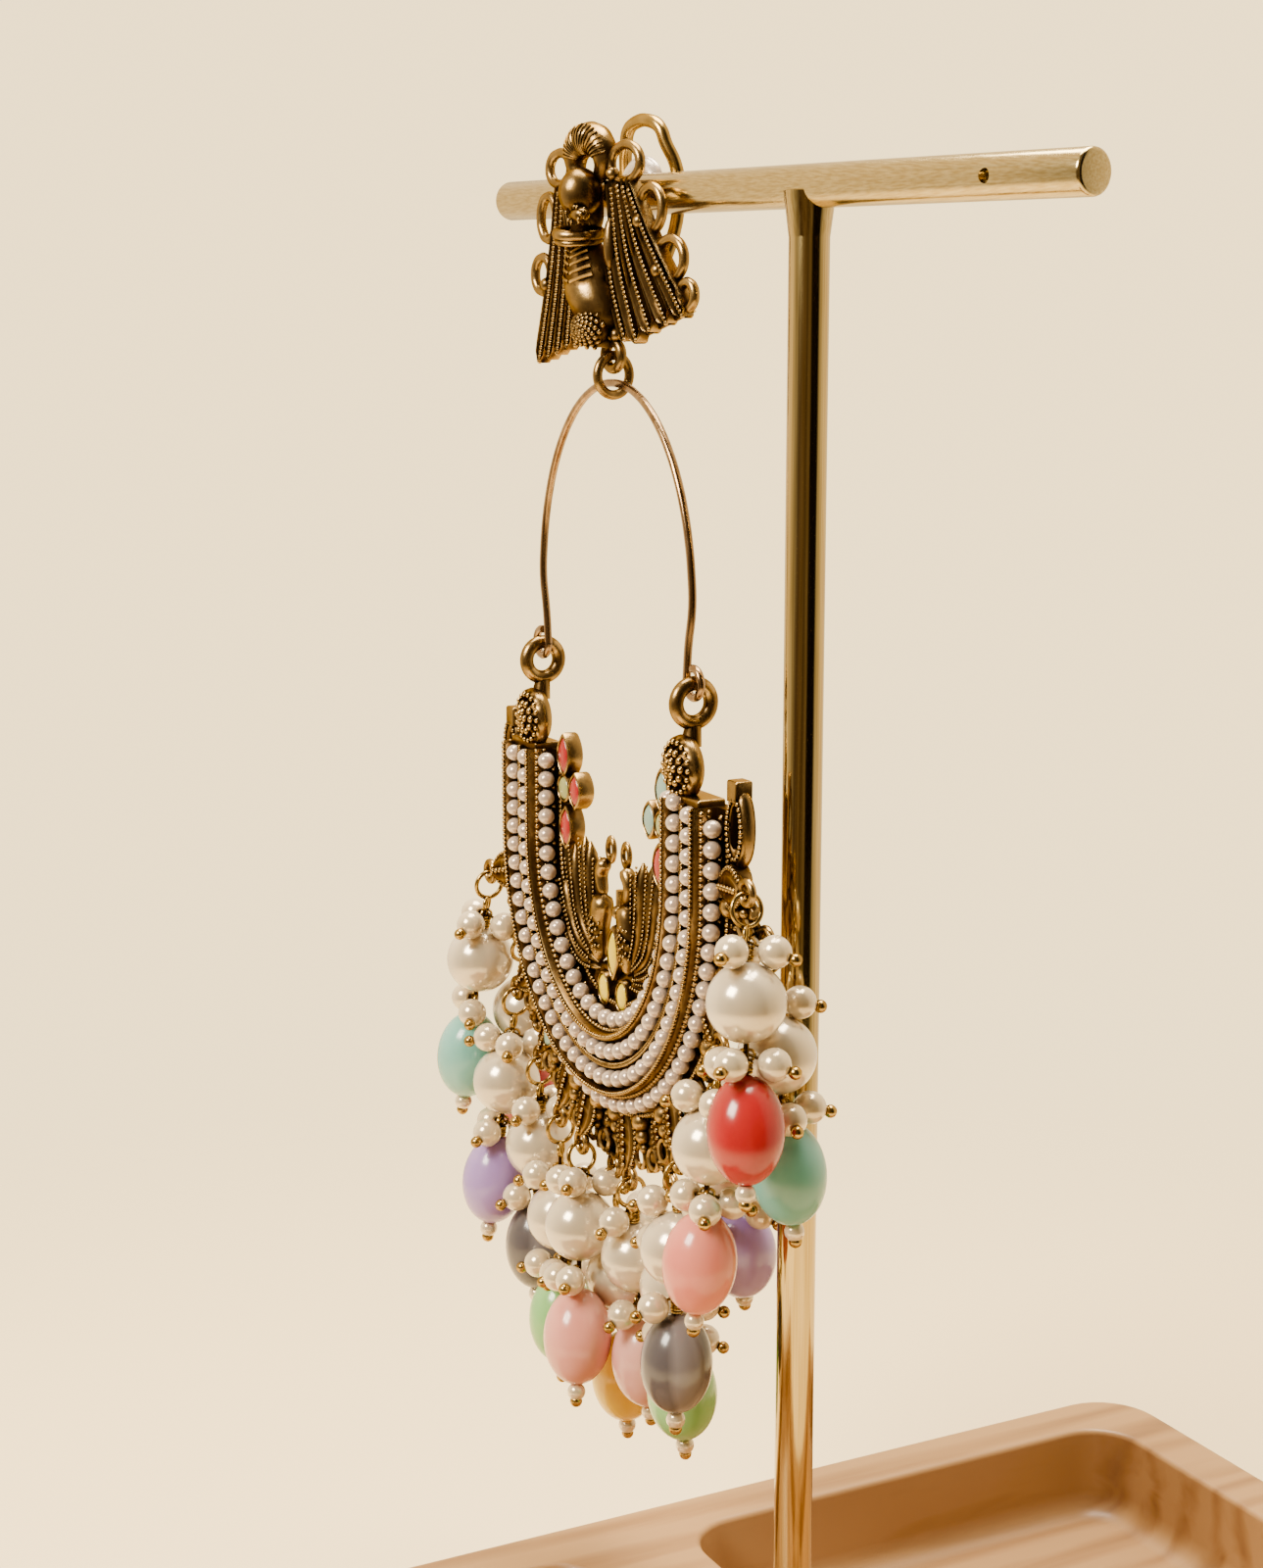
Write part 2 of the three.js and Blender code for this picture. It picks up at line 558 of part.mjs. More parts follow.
// A row of pearls as one tube, in the channel at the given offset from the band's middle line
function rowTube(offset, front) {
  const points = bandStations().map(({ x, z, outX, outZ }) => new THREE.Vector3(
    x + outX * offset, frontOf(front), z + outZ * offset));
  points[0].z -= CLEARANCE;
  points[points.length - 1].z -= CLEARANCE;
  const length = new THREE.CatmullRomCurve3(points, false, 'centripetal').getLength();
  return tube(points, ROW_RADIUS, ROW_SIDES, Math.round(length / ROW_STEP));
}

// Ring, medallion and neck at the top of one leg
function horn(side) {
  const x = side * CRESCENT_HALF;
  const medallionHeight = BAND_TOP + MEDALLION_RISE;
  const dome = [[0, 0], [0.93, 0.12], [1, 0.45], [0.9, 0.75], [0.55, 0.95], [0, 1]]
    .map(([r, t]) => new THREE.Vector2(r * MEDALLION_RADIUS, t * MEDALLION_THICK));
  const medallion = new THREE.LatheGeometry(dome, 10).rotateX(Math.PI).translate(x, frontOf(MEDALLION_SEAT), medallionHeight);
  const ring = moved(torus(HORN_RADIUS, HORN_WIRE, 5, 12), x, 0, HORN_HEIGHT, [0, QUARTER, 0]);
  const stemLow = medallionHeight + MEDALLION_RADIUS - 1;
  const stemHigh = HORN_HEIGHT - HORN_RADIUS;
  const stem = box(2, 2.4, stemHigh - stemLow).translate(x, -0.2, (stemLow + stemHigh) / 2);
  const neckWidth = RIM_IN - WALL_A;
  const neck = box(neckWidth, RIDGE_TOP - 0.5, 1.6)
    .translate(x + side * (RIM_IN + WALL_A) / 2, frontOf(RIDGE_TOP / 2), BAND_TOP + 0.7);
  return [medallion, ring, stem, neck];
}

// A domed stone in its setting: shares of half width and half height, lean in the face plane
function setting({ at: [share, up], half, pointed, lean = 0 }, side, back, thick) {
  const [halfWidth, halfHeight] = half.map((size) => size * STONE_HALF);
  const turn = lean * side;
  const { x, z } = crescentPoint([side * share, up], 0);
  const sides = 8;
  const outline = Array.from({ length: sides }, (_, i) => {
    const angle = (i / sides) * 2 * Math.PI;
    const pinch = pointed && i % 4 !== 2 && i % 4 !== 0 ? 0.86 : 1;
    return [halfWidth * Math.cos(angle) * pinch, halfHeight * Math.sin(angle) * pinch];
  });
  const station = (size, out) => ({
    origin: new THREE.Vector3(x, frontOf(back + out), z),
    across: new THREE.Vector3(Math.cos(turn) * size, 0, Math.sin(turn) * size),
    out: new THREE.Vector3(-Math.sin(turn) * size, 0, Math.cos(turn) * size),
  });
  return sweep(outline, [station(1, 0), station(STONE_TAPER, thick)]);
}

// Stones on the horns' inner edge, between the peacocks and round the bottom. Places are shares of the
// band's half width and of its fall, from the middle of the turn; half sizes are shares of STONE_HALF.
const INNER_STONES = [
  { at: [0.66, 0.46], half: [1, 1.67], pointed: true },
  { at: [0.655, 0.28], half: [1, 1.07] },
  { at: [0.5, 0.286], half: [0.97, 1.4], pointed: true },
  { at: [0.63, 0.07], half: [1, 1.67], pointed: true },
];
const CENTRE_STONES = [
  { at: [0, -0.507], half: [0.87, 2.07], pointed: true },
  { at: [-0.122, -0.72], half: [0.93, 1.27], lean: 0.15 },
  { at: [0.122, -0.72], half: [0.93, 1.27], lean: -0.15 },
];
const BORDER_PIECES = [
  { at: [1.47, 0.576], half: [0.8, 0.8] },
  { at: [1.493, 0.39], half: [1, 2.2] },
  { at: [1.487, 0.133], half: [0.93, 1.27], pointed: true },
  { at: [0.898, -1.148], half: [0.87, 1.4], pointed: true, lean: 0.6 },
];

// Peacock: strokes of body, wing and tail for the right bird, in the same shares
const PEACOCK = [
  { from: [0.187, -0.567], mid: [0.21, -0.345], to: [0.152, -0.158], half: 1, relief: 1.27 },
  { from: [0.152, -0.172], mid: [0.21, -0.064], to: [0.152, -0.005], half: 0.6, relief: 1.07 },
  { from: [0.245, -0.537], mid: [0.408, -0.394], to: [0.735, -0.094], half: 0.87, relief: 1.07 },
  { from: [0.257, -0.443], mid: [0.373, -0.246], to: [0.618, 0.015], half: 0.73, relief: 1 },
  { from: [0.268, -0.345], mid: [0.315, -0.148], to: [0.443, 0.074], half: 0.67, relief: 0.93 },
  { from: [0.175, -0.591], mid: [0.408, -0.567], to: [0.746, -0.291], half: 0.8, relief: 0.87 },
];
const CREST_AT = [0.1, 0.025];
const BIRD_BAR = [{ at: [-0.03, -0.665], half: 0.6 }, { at: [0.175, -0.596], half: 0.8 }];

const crescentPoint = ([across, up], front) => new THREE.Vector3(
  across * CRESCENT_HALF, frontOf(front), BAND_TURN_HEIGHT + up * BAND_FALL);

function peacock(side) {
  const strokes = PEACOCK.map(({ from, mid, to, half, relief }) => {
    const [width, height] = [half * STONE_HALF, relief * STONE_HALF];
    const stations = [[from, 0.7], [mid, 1], [to, 0.45]].map(([[across, up], share]) => ({
      origin: crescentPoint([side * across, up], height * 0.45),
      across: new THREE.Vector3(width * share, 0, -width * share * 0.5 * side),
      out: new THREE.Vector3(0, -height * 0.5, 0),
    }));
    return sweep(round(5), stations);
  });
  const crown = crescentPoint([side * CREST_AT[0], CREST_AT[1]], 1);
  const crest = moved(torus(CREST_RADIUS, CREST_WIRE, 4, 8), crown.x, crown.y, crown.z, [QUARTER, 0, 0]);
  const back = sweep([[-1, 0], [1, 0], [1, BIRD_BAR_THICK], [-1, BIRD_BAR_THICK]],
    BIRD_BAR.map(({ at: [across, up], half }) => ({
      origin: crescentPoint([side * across, up], 0),
      across: new THREE.Vector3(0, 0, half * STONE_HALF),
      out: new THREE.Vector3(0, -1, 0),
    })));
  return [...strokes, crest, back];
}

// Drops: angle on the rim in degrees, where the loop sits, how the drop leans and hangs, and its colour
const DROPS = [
  { name: 'drop_01', colour: 'red', rim: 94.3, seat: -8.3, out: 1.2, side: 5, front: 2.8, hang: 22.4 },
  { name: 'drop_02', colour: 'teal', rim: 86.3, seat: -5.8, out: 0.6, side: 1.6, front: -1.9, hang: 23.4 },
  { name: 'drop_03', colour: 'pink', rim: 66.3, seat: -8.2, out: -1.6, side: 0.2, front: 2.3, hang: 22.1 },
  { name: 'drop_04', colour: 'lavender', rim: 53.6, seat: -5.4, out: -1.8, side: -5, front: -4.5, hang: 20.3 },
  { name: 'drop_05', colour: 'grey', rim: 36.6, seat: -8.3, out: -0.6, side: 1.4, front: 1, hang: 21.2 },
  { name: 'drop_06', colour: 'green', rim: 22.9, seat: -6.2, out: 0, side: 0.4, front: -1.2, hang: 23.3 },
  { name: 'drop_07', colour: 'palePink', rim: 5.2, seat: -6.5, out: -0.7, side: 0.7, front: -1.6, hang: 21 },
  { name: 'drop_08', colour: 'yellow', rim: -7.3, seat: -5.1, out: 0.3, side: -0.7, front: -1.6, hang: 25.3 },
  { name: 'drop_09', colour: 'lightPink', rim: -14, seat: -7.7, out: -1.3, side: 5, front: 3.1, hang: 21.1 },
  { name: 'drop_10', colour: 'green', rim: -26.1, seat: -7.3, out: 0.1, side: 0.9, front: 0.4, hang: 23.8 },
  { name: 'drop_11', colour: 'grey', rim: -40.8, seat: -6.8, out: 0.1, side: 0, front: 0.5, hang: 22.5 },
  { name: 'drop_12', colour: 'lavender', rim: -55.8, seat: -7.3, out: 0, side: -0.8, front: 2.8, hang: 23.1 },
  { name: 'drop_13', colour: 'red', rim: -65.8, seat: -5, out: 0.5, side: -5, front: -2.5, hang: 21.8 },
  { name: 'drop_14', colour: 'teal', rim: -78.6, seat: -8.1, out: 1, side: -2.8, front: 1.8, hang: 22.8 },
];

function rimPoint({ rim, seat, out }) {
  const [sin, cos] = [Math.sin(radians(rim)), Math.cos(radians(rim))];
  const outward = new THREE.Vector2(RIM_FALL * sin, -RIM_HALF * cos).normalize();
  return new THREE.Vector3(RIM_HALF * sin + outward.x * out, seat - HANG.y,
    BAND_TURN_HEIGHT - RIM_FALL * cos + outward.y * out);
}

// Cast loop of one drop and the leaf that joins it to the band
function rimLoop(drop) {
  const loop = rimPoint(drop);
  const root = bandStation(drop.rim);
  const start = new THREE.Vector3(root.x, frontOf(FLANGE_THICK / 2), root.z);
  const way = loop.clone().sub(start);
  const reach = way.length();
  const along = way.clone().normalize();
  const across = new THREE.Vector3(-along.z, 0, along.x).normalize();
  const leafStart = BAND_OUTER - LEAF_LAP;
  const leafEnd = reach - LOOP_RADIUS + 0.2;
  const stations = [[leafStart, 1], [(leafStart + leafEnd) / 2, 1.35], [leafEnd, 0.5]].map(([at, half]) => ({
    origin: start.clone().addScaledVector(along, at),
    across: across.clone().multiplyScalar(half),
    out: new THREE.Vector3(0, -0.75, 0),
  }));
  return [
    moved(torus(LOOP_RADIUS, LOOP_WIRE, 4, 7), loop.x, loop.y, loop.z, [QUARTER, 0, 0]),
    sweep(round(4), stations),
  ];
}

function crescentFrame() {
  const pieces = [band(), ...horn(-1), ...horn(1)];
  const bothSides = (list) => list.flatMap(
    (stone) => [-1, 1].map((side) => setting(stone, side, STONE_SEAT, STONE_RISE)));
  pieces.push(...bothSides(INNER_STONES), ...bothSides(BORDER_PIECES));
  pieces.push(...CENTRE_STONES.map((stone) => setting(stone, 1, 0, STONE_RISE)));
  pieces.push(...peacock(-1), ...peacock(1), ...DROPS.flatMap(rimLoop));
  return fuse(pieces);
}

// Bead drilled along its axis: the profile closes on itself
function drilledBead(radius, halfHeight) {
  const bore = PIN_RADIUS + CLEARANCE;
  const latitude = Math.acos(bore / radius);
  const profile = [];
  for (let i = 0; i <= BEAD_RINGS; i += 1) {
    const angle = -latitude + (2 * latitude * i) / BEAD_RINGS;
    profile.push(new THREE.Vector2(radius * Math.cos(angle), halfHeight * Math.sin(angle)));
  }
  profile.push(profile[0].clone());
  return new THREE.LatheGeometry(profile, BEAD_SIDES).rotateX(QUARTER);
}

// Jump ring, wire pin and end ball, from the loop that carries them downwards
function dropPin(hang) {
  const top = -2 * JUMP_RADIUS;
  const bottom = -hang - BEAD_TO_BALL;
  return fuse([
    moved(torus(JUMP_RADIUS, JUMP_WIRE, 5, 10), 0, 0, -JUMP_RADIUS, [0, QUARTER, 0]),
    rod(PIN_RADIUS, top - bottom, 6).translate(0, 0, (top + bottom) / 2),
    ball(BALL_RADIUS, 5, 3).translate(0, 0, bottom),
  ]);
}

// Scene graph
function mesh(name, geometry, look) {
  const piece = new THREE.Mesh(geometry, new THREE.MeshStandardMaterial(look));
  piece.name = name;
  return piece;
}

const earringStand = new THREE.Group();
earringStand.add(mesh('tray_base', trayBase(), finish.wood));
earringStand.add(mesh('stand_t_bar', standTBar(), finish.brass));

const onBar = new THREE.Group();
onBar.position.set(PLATE_ALONG * Math.cos(BAR_TURN), PLATE_ALONG * Math.sin(BAR_TURN), BAR_HEIGHT);
onBar.rotation.z = BAR_TURN;
onBar.add(mesh('ear_plate', earPlate(), finish.antique));
onBar.add(mesh('clip_loop', clipLoop(), finish.antique));
onBar.add(mesh('clip_pad', clipPad(), finish.pad));
const connector = mesh('connector_ring', torus(RING_RADIUS, RING_WIRE, 6, 12), finish.antique);
connector.position.set(0, -HANG_FRONT, RING_HEIGHT - BAR_HEIGHT);
connector.rotation.y = QUARTER;
onBar.add(connector);
earringStand.add(onBar);

const arch = mesh('arch_wire', archWire(), finish.roseWire);
arch.position.set(HANG.x, HANG.y, ARCH_TOP);
earringStand.add(arch);

const crescent = new THREE.Group();
crescent.position.set(HANG.x, HANG.y, 0);
crescent.add(mesh('crescent_frame', crescentFrame(), finish.antique));
const faceRow = CHANNEL_FLOOR + ROW_CLEARANCE + ROW_RADIUS;
const sideRow = FLANGE_THICK + ROW_CLEARANCE + ROW_RADIUS;
crescent.add(mesh('pearl_row_inner', rowTube(ROW_A, sideRow), finish.pinkPearl));
crescent.add(mesh('pearl_row_face_1', rowTube(ROW_CENTRE, faceRow), finish.pinkPearl));
crescent.add(mesh('pearl_row_face_2', rowTube(ROW_C, faceRow), finish.pinkPearl));
crescent.add(mesh('pearl_row_outer', rowTube(ROW_D, sideRow), finish.pinkPearl));

for (const drop of DROPS) {
  const hanging = new THREE.Group();
  hanging.position.copy(rimPoint(drop));
  const way = new THREE.Vector3(drop.side, -drop.front,
    -Math.sqrt(drop.hang ** 2 - drop.side ** 2 - drop.front ** 2)).normalize();
  hanging.quaternion.setFromUnitVectors(new THREE.Vector3(0, 0, -1), way);
  hanging.add(mesh(`${drop.name}_pin`, dropPin(drop.hang), finish.findings));
  const pearl = mesh(`${drop.name}_pearl`, drilledBead(PEARL_RADIUS, PEARL_RADIUS), finish.pearl);
  pearl.position.z = -drop.hang + PEARL_TO_BEAD;
  const beadLook = { color: beadColours[drop.colour], roughness: 0.2, metalness: 0 };
  const bead = mesh(`${drop.name}_bead`, drilledBead(BEAD_RADIUS, BEAD_HALF_HEIGHT), beadLook);
  bead.position.z = -drop.hang;
  hanging.add(pearl, bead);
  crescent.add(hanging);
}
earringStand.add(crescent);

export default earringStand;
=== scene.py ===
# %% [markdown]
# A chandelier earring clipped on a plain brass T-bar stand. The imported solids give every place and
# size; each cell below models the finer form of one piece and gives it its finish. Lengths are typed
# in millimetres, as a jeweller would measure them, and turned into metres as the mesh is made.

# %% Frame
import math

import bmesh
import bpy
from mathutils import Matrix, Vector
from mathutils.bvhtree import BVHTree


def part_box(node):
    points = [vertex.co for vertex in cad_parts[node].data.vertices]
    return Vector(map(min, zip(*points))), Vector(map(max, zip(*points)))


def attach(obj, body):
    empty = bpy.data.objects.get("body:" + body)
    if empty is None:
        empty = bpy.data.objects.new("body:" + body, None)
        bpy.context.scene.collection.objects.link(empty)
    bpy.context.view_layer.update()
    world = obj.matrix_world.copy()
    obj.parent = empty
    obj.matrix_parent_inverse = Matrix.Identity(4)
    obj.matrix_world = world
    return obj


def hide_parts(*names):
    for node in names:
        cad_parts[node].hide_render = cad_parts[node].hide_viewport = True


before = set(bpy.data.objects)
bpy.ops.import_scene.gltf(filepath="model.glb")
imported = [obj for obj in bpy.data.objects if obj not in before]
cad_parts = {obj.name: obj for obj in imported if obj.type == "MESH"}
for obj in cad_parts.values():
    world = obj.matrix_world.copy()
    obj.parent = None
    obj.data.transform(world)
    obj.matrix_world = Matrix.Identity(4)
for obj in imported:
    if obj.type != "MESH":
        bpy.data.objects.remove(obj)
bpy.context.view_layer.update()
MM = 0.001

# %% [markdown]
# The earring hangs from one point of the bar, so the bar's turn and the hanging point are worked out
# once. `on_bar` gives a point of the ear plate along the bar, forward and up, and `from_bar` a step in
# the same directions. `in_crescent` gives a point from the crescent's middle line, at its real depth
# and height.

# %% Places
BAR_HEIGHT, BAR_TURN, PLATE_ALONG, PLATE_BACK = 168, math.radians(8.9), -27.07, 2.35
PLATE_THICK = 1.1
ON_BAR = (Matrix.Translation((PLATE_ALONG * math.cos(BAR_TURN), PLATE_ALONG * math.sin(BAR_TURN),
                              BAR_HEIGHT)) @ Matrix.Rotation(BAR_TURN, 4, "Z"))
HANG = ON_BAR @ Vector((0, -(PLATE_BACK + PLATE_THICK / 2), 0))


def on_bar(along, front, up):
    return ON_BAR @ Vector((along, -front, up))


def from_bar(along, front, up):
    return on_bar(along, front, up) - on_bar(0, 0, 0)


def in_crescent(x, y, z):
    return Vector((HANG.x + x, y, z))


def around(count):
    """Angles of a full turn in equal steps."""
    return [i / count * math.tau for i in range(count)]


print("hanging point", [round(v, 2) for v in HANG])

# %% [markdown]
# An operator acts on all that is selected, and the loaded solids start selected, so every helper
# clears the selection first. `finish_piece` joins the parts of one piece, puts its place into the
# mesh, shades it and says which body it moves with, which solid it stands for and its material slot.
# For a metal piece, `finish_piece` then sends a few short rays out from each point and keeps the share
# that gets away as the attribute openness. The metal finish turns dark where few rays get away: that is
# painted shade in the hollows, along with the patina an old casting keeps there.

# %% Helpers for objects
def select_only(things):
    bpy.ops.object.select_all(action="DESELECT")
    for thing in things:
        thing.select_set(True)
    bpy.context.view_layer.objects.active = things[0]


def join(things):
    select_only(things)
    if len(things) > 1:
        bpy.ops.object.join()
    bpy.ops.object.transform_apply(location=True, rotation=True, scale=True)
    return things[0]


RAY_CIRCLES = ((0, 1, 1), (0.5, 0.86, 4), (0.87, 0.5, 5))
RAY_START, RAY_REACH = 0.03, 2.2


def paint_hollow_shade(piece):
    """How open each point lies, for the painted shade in hollows: 1 is free, 0 is deep in the casting."""
    mesh = piece.data
    tree = BVHTree.FromPolygons([v.co for v in mesh.vertices], [tuple(f.vertices) for f in mesh.polygons])
    fan = [Vector((math.cos(a + out) * out, math.sin(a + out) * out, up))
           for out, up, rays in RAY_CIRCLES for a in around(rays)]
    layer = mesh.attributes.new("openness", "FLOAT", "POINT")
    free = []
    for v in mesh.vertices:
        turn = Vector((0, 0, 1)).rotation_difference(v.normal)
        start = v.co + v.normal * RAY_START * MM
        hits = [tree.ray_cast(start, turn @ ray, RAY_REACH * MM)[3] for ray in fan]
        free.append(sum(1 if hit is None else hit / (RAY_REACH * MM) for hit in hits) / len(fan))
    layer.data.foreach_set("value", free)


def finish_piece(things, name, material, body, stands_for=(), smooth=40):
    piece = join(things)
    # metal pieces get the openness that paints shade into their hollows
    if material in SHADED_IN_HOLLOWS:
        paint_hollow_shade(piece)
    piece.name = piece.data.name = name
    if material:
        piece.data.materials.clear()
        piece.data.materials.append(material)
    bpy.ops.object.shade_smooth_by_angle(angle=math.radians(smooth))
    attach(piece, body)
    if stands_for:
        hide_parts(*stands_for)
    return piece


def closed_outwards(thing):
    select_only([thing])
    bpy.ops.object.mode_set(mode="EDIT")
    bpy.ops.mesh.select_all(action="SELECT")
    bpy.ops.mesh.remove_doubles(threshold=1e-7)
    bpy.ops.mesh.normals_make_consistent(inside=False)
    bpy.ops.object.mode_set(mode="OBJECT")
    return thing


def copies(pattern, places):
    made = []
    for place in places:
        twin = pattern.copy()
        twin.data = pattern.data.copy()
        twin.data.transform(place)
        bpy.context.collection.objects.link(twin)
        made.append(twin)
    bpy.data.objects.remove(pattern)
    return made


print("rays for each point", sum(rays for _, _, rays in RAY_CIRCLES), "reach", RAY_REACH, "mm")

# %% [markdown]
# Four ways of making a form cover the whole earring: a ball or ring from a primitive, a wire along a
# path, a loft through outlines (for the feathers, the band and the stone settings), and copies of one
# small pattern along a line (for granulation and rows of pearls). Sculpting could give such a casting
# too, but forms made from numbers stay easy to move, and come out the same at every run.

# %% Helpers for forms
def metres(point):
    return Vector(point) * MM


def turned_to(direction, axis=(0, 0, 1)):
    return Vector(axis).rotation_difference(Vector(direction)).to_matrix().to_4x4()


def ball(radius, at, across, up, scale=(1, 1, 1)):
    bpy.ops.object.select_all(action="DESELECT")
    bpy.ops.mesh.primitive_uv_sphere_add(segments=across, ring_count=up, radius=radius * MM)
    made = bpy.context.object
    made.data.transform(Matrix.Translation(metres(at)) @ Matrix.Diagonal((*scale, 1)))
    return made


def ring(radius, wire, at, normal=(0, 0, 1), across=40, around=12, scale=(1, 1, 1)):
    bpy.ops.object.select_all(action="DESELECT")
    bpy.ops.mesh.primitive_torus_add(major_radius=radius * MM, minor_radius=wire * MM,
                                     major_segments=across, minor_segments=around)
    made = bpy.context.object
    made.data.transform(Matrix.Translation(metres(at)) @ turned_to(normal) @ Matrix.Diagonal((*scale, 1)))
    return made


def rod(radius, start, end, sides=16, end_radius=None):
    start, end = Vector(start), Vector(end)
    bpy.ops.object.select_all(action="DESELECT")
    bpy.ops.mesh.primitive_cone_add(vertices=sides, radius1=radius * MM,
                                    radius2=(radius if end_radius is None else end_radius) * MM,
                                    depth=(end - start).length * MM)
    made = bpy.context.object
    made.data.transform(Matrix.Translation((start + end) / 2 * MM) @ turned_to(end - start))
    return made


def wire(points, radius, closed=False, sides=10, shares=None, steps=6):
    curve = bpy.data.curves.new("path", "CURVE")
    curve.dimensions = "3D"
    curve.bevel_depth = radius * MM
    curve.bevel_resolution = max(1, sides // 4 - 1)
    curve.use_fill_caps = True
    spline = curve.splines.new("BEZIER")
    spline.bezier_points.add(len(points) - 1)
    spline.resolution_u = steps
    for place, knot in enumerate(spline.bezier_points):
        knot.co = metres(points[place])
        knot.handle_left_type = knot.handle_right_type = "AUTO"
        knot.radius = shares[place] if shares else 1
    spline.use_cyclic_u = closed
    made = bpy.data.objects.new("path", curve)
    bpy.context.collection.objects.link(made)
    select_only([made])
    bpy.ops.object.convert(target="MESH")
    return bpy.context.object


def loft(outlines):
    """Joins closed outlines of equal length one after another, and closes both ends."""
    shape = bmesh.new()
    rows = [[shape.verts.new(metres(point)) for point in outline] for outline in outlines]
    for low, high in zip(rows, rows[1:]):
        for i in range(len(low)):
            j = (i + 1) % len(low)
            shape.faces.new((low[i], low[j], high[j], high[i]))
    shape.faces.new(rows[0])
    shape.faces.new(rows[-1])
    bmesh.ops.recalc_face_normals(shape, faces=shape.faces)
    mesh = bpy.data.meshes.new("loft")
    shape.to_mesh(mesh)
    shape.free()
    made = bpy.data.objects.new("loft", mesh)
    bpy.context.collection.objects.link(made)
    return made


def swept(section, stations):
    """section holds (across, out) pairs; a station is (origin, across, out) as vectors."""
    return loft([[o + a * across + b * out for a, b in section] for o, across, out in stations])


def oval(sides):
    turns = [(i + 0.5) / sides * math.tau for i in range(sides)]
    return [(math.cos(a), math.sin(a)) for a in turns]


def smooth_path(points, count):
    """A curve through the points, cut into equal shares of its parameter."""
    points = [Vector(p) for p in points]
    padded = [2 * points[0] - points[1], *points, 2 * points[-1] - points[-2]]
    out = []
    for step in range(count + 1):
        t = step / count * (len(points) - 1)
        k = min(int(t), len(points) - 2)
        t -= k
        a, b, c, d = padded[k:k + 4]
        out.append(0.5 * (2 * b + (c - a) * t + (2 * a - 5 * b + 4 * c - d) * t * t
                          + (3 * b - a - 3 * c + d) * t ** 3))
    return out


def along_line(points, pitch, start=0.0):
    """Equally spaced places on a line of points, each with the line's direction there."""
    places, travelled, want = [], 0.0, start
    for a, b in zip(points, points[1:]):
        length = (b - a).length
        while length > 0 and want <= travelled + length:
            places.append((a.lerp(b, (want - travelled) / length), (b - a).normalized()))
            want += pitch
        travelled += length
    return places


def grains(radius, spots, across=6, up=4):
    pattern = ball(radius, (0, 0, 0), across, up)
    return copies(pattern, [Matrix.Translation(metres(spot)) for spot in spots])


def milled(radius, line, pitch, start=0.0):
    """A cord of grains on a line, as on milled wire."""
    return grains(radius, [spot for spot, _ in along_line(line, pitch, start)])


print("a turn of eight steps", [round(math.degrees(a)) for a in around(8)])

# %% [markdown]
# A finish is a small network of nodes, and five kinds of it serve the whole earring. An antique
# casting is darker in its hollows, partly patina and partly painted shade: the attribute openness and
# the mesh's own pointiness tell hollows from edges, the hollows are painted dark and the edges a
# lighter worn gold, and a noise breaks up the border between them. Drawn metal has fine lines along the wire.
# Pearls and beads get their glow from subsurface light and a coat, and wood its grain from a stretched
# noise and bands. Pearls and the pad also turn lighter towards their rims, a painted sheen, and the
# cat's-eye beads carry a lighter band, a painted highlight. Object coordinates keep every pattern still
# on its piece, and what is the same all over is set on the shader's own socket.

# %% Finishes
def tools_for(tree):
    """`add` makes a node, where in_0 or in_Scale sets a socket and the rest are its properties;
    `connect` joins nodes, from rows of node, output, node, input."""
    def add(kind, **values):
        made = tree.nodes.new(kind)
        for key, value in values.items():
            if key.startswith("in_"):
                socket = key[3:]
                socket = int(socket) if socket.isdigit() else socket.replace("_", " ")
                made.inputs[socket].default_value = value
            else:
                setattr(made, key, value)
        return made

    def connect(*rows):
        for source, output, target, socket in rows:
            tree.links.new(source.outputs[output], target.inputs[socket])
    return add, connect


def new_finish(name, **sockets):
    material = bpy.data.materials.new(name)
    material.use_nodes = True
    shader = material.node_tree.nodes["Principled BSDF"]
    for socket, value in sockets.items():
        shader.inputs[socket.replace("_", " ")].default_value = value
    return (material, shader, *tools_for(material.node_tree))


def colour_ramp(add, stops):
    made = add("ShaderNodeValToRGB")
    elements = made.color_ramp.elements
    while len(elements) < len(stops):
        elements.new(0.5)
    for element, (place, colour) in zip(elements, stops):
        element.position, element.color = place, (*colour, 1)
    return made


def cast_metal(name, hollow, middle, edge, roughness, grain=900, depth=0.25):
    material, shader, add, connect = new_finish(name, Metallic=1, Specular_Tint=(0.62, 0.48, 0.30, 1))
    shape = add("ShaderNodeNewGeometry")
    place = add("ShaderNodeTexCoord")
    openness = add("ShaderNodeAttribute", attribute_name="openness")
    noise = add("ShaderNodeTexNoise", in_Scale=700, in_Detail=4)
    fine = add("ShaderNodeTexNoise", in_Scale=grain, in_Detail=3)
    edges = add("ShaderNodeMath", operation="MULTIPLY_ADD", in_1=1.6, in_2=-0.8)
    clouds = add("ShaderNodeMath", operation="MULTIPLY_ADD", in_1=0.22)
    # painted shade: few free rays and creases give the dark hollow colour, sharp edges the lighter worn gold
    shade_and_wear = add("ShaderNodeMath", operation="MULTIPLY_ADD", in_1=0.7)
    ramp = colour_ramp(add, [(0.42, hollow), (0.8, middle), (1.0, edge)])
    rough = add("ShaderNodeMapRange", in_1=0.4, in_2=1.0, in_3=roughness + 0.2, in_4=roughness)
    bump = add("ShaderNodeBump", in_Strength=depth, in_Distance=0.0002)
    connect((place, "Object", noise, "Vector"), (place, "Object", fine, "Vector"),
            (shape, "Pointiness", edges, 0), (noise, 0, clouds, 0), (edges, 0, clouds, 2),
            (openness, "Fac", shade_and_wear, 0), (clouds, 0, shade_and_wear, 2), (shade_and_wear, 0, ramp, 0), (shade_and_wear, 0, rough, 0),
            (ramp, 0, shader, "Base Color"), (rough, 0, shader, "Roughness"),
            (fine, 0, bump, "Height"), (bump, 0, shader, "Normal"))
    return material


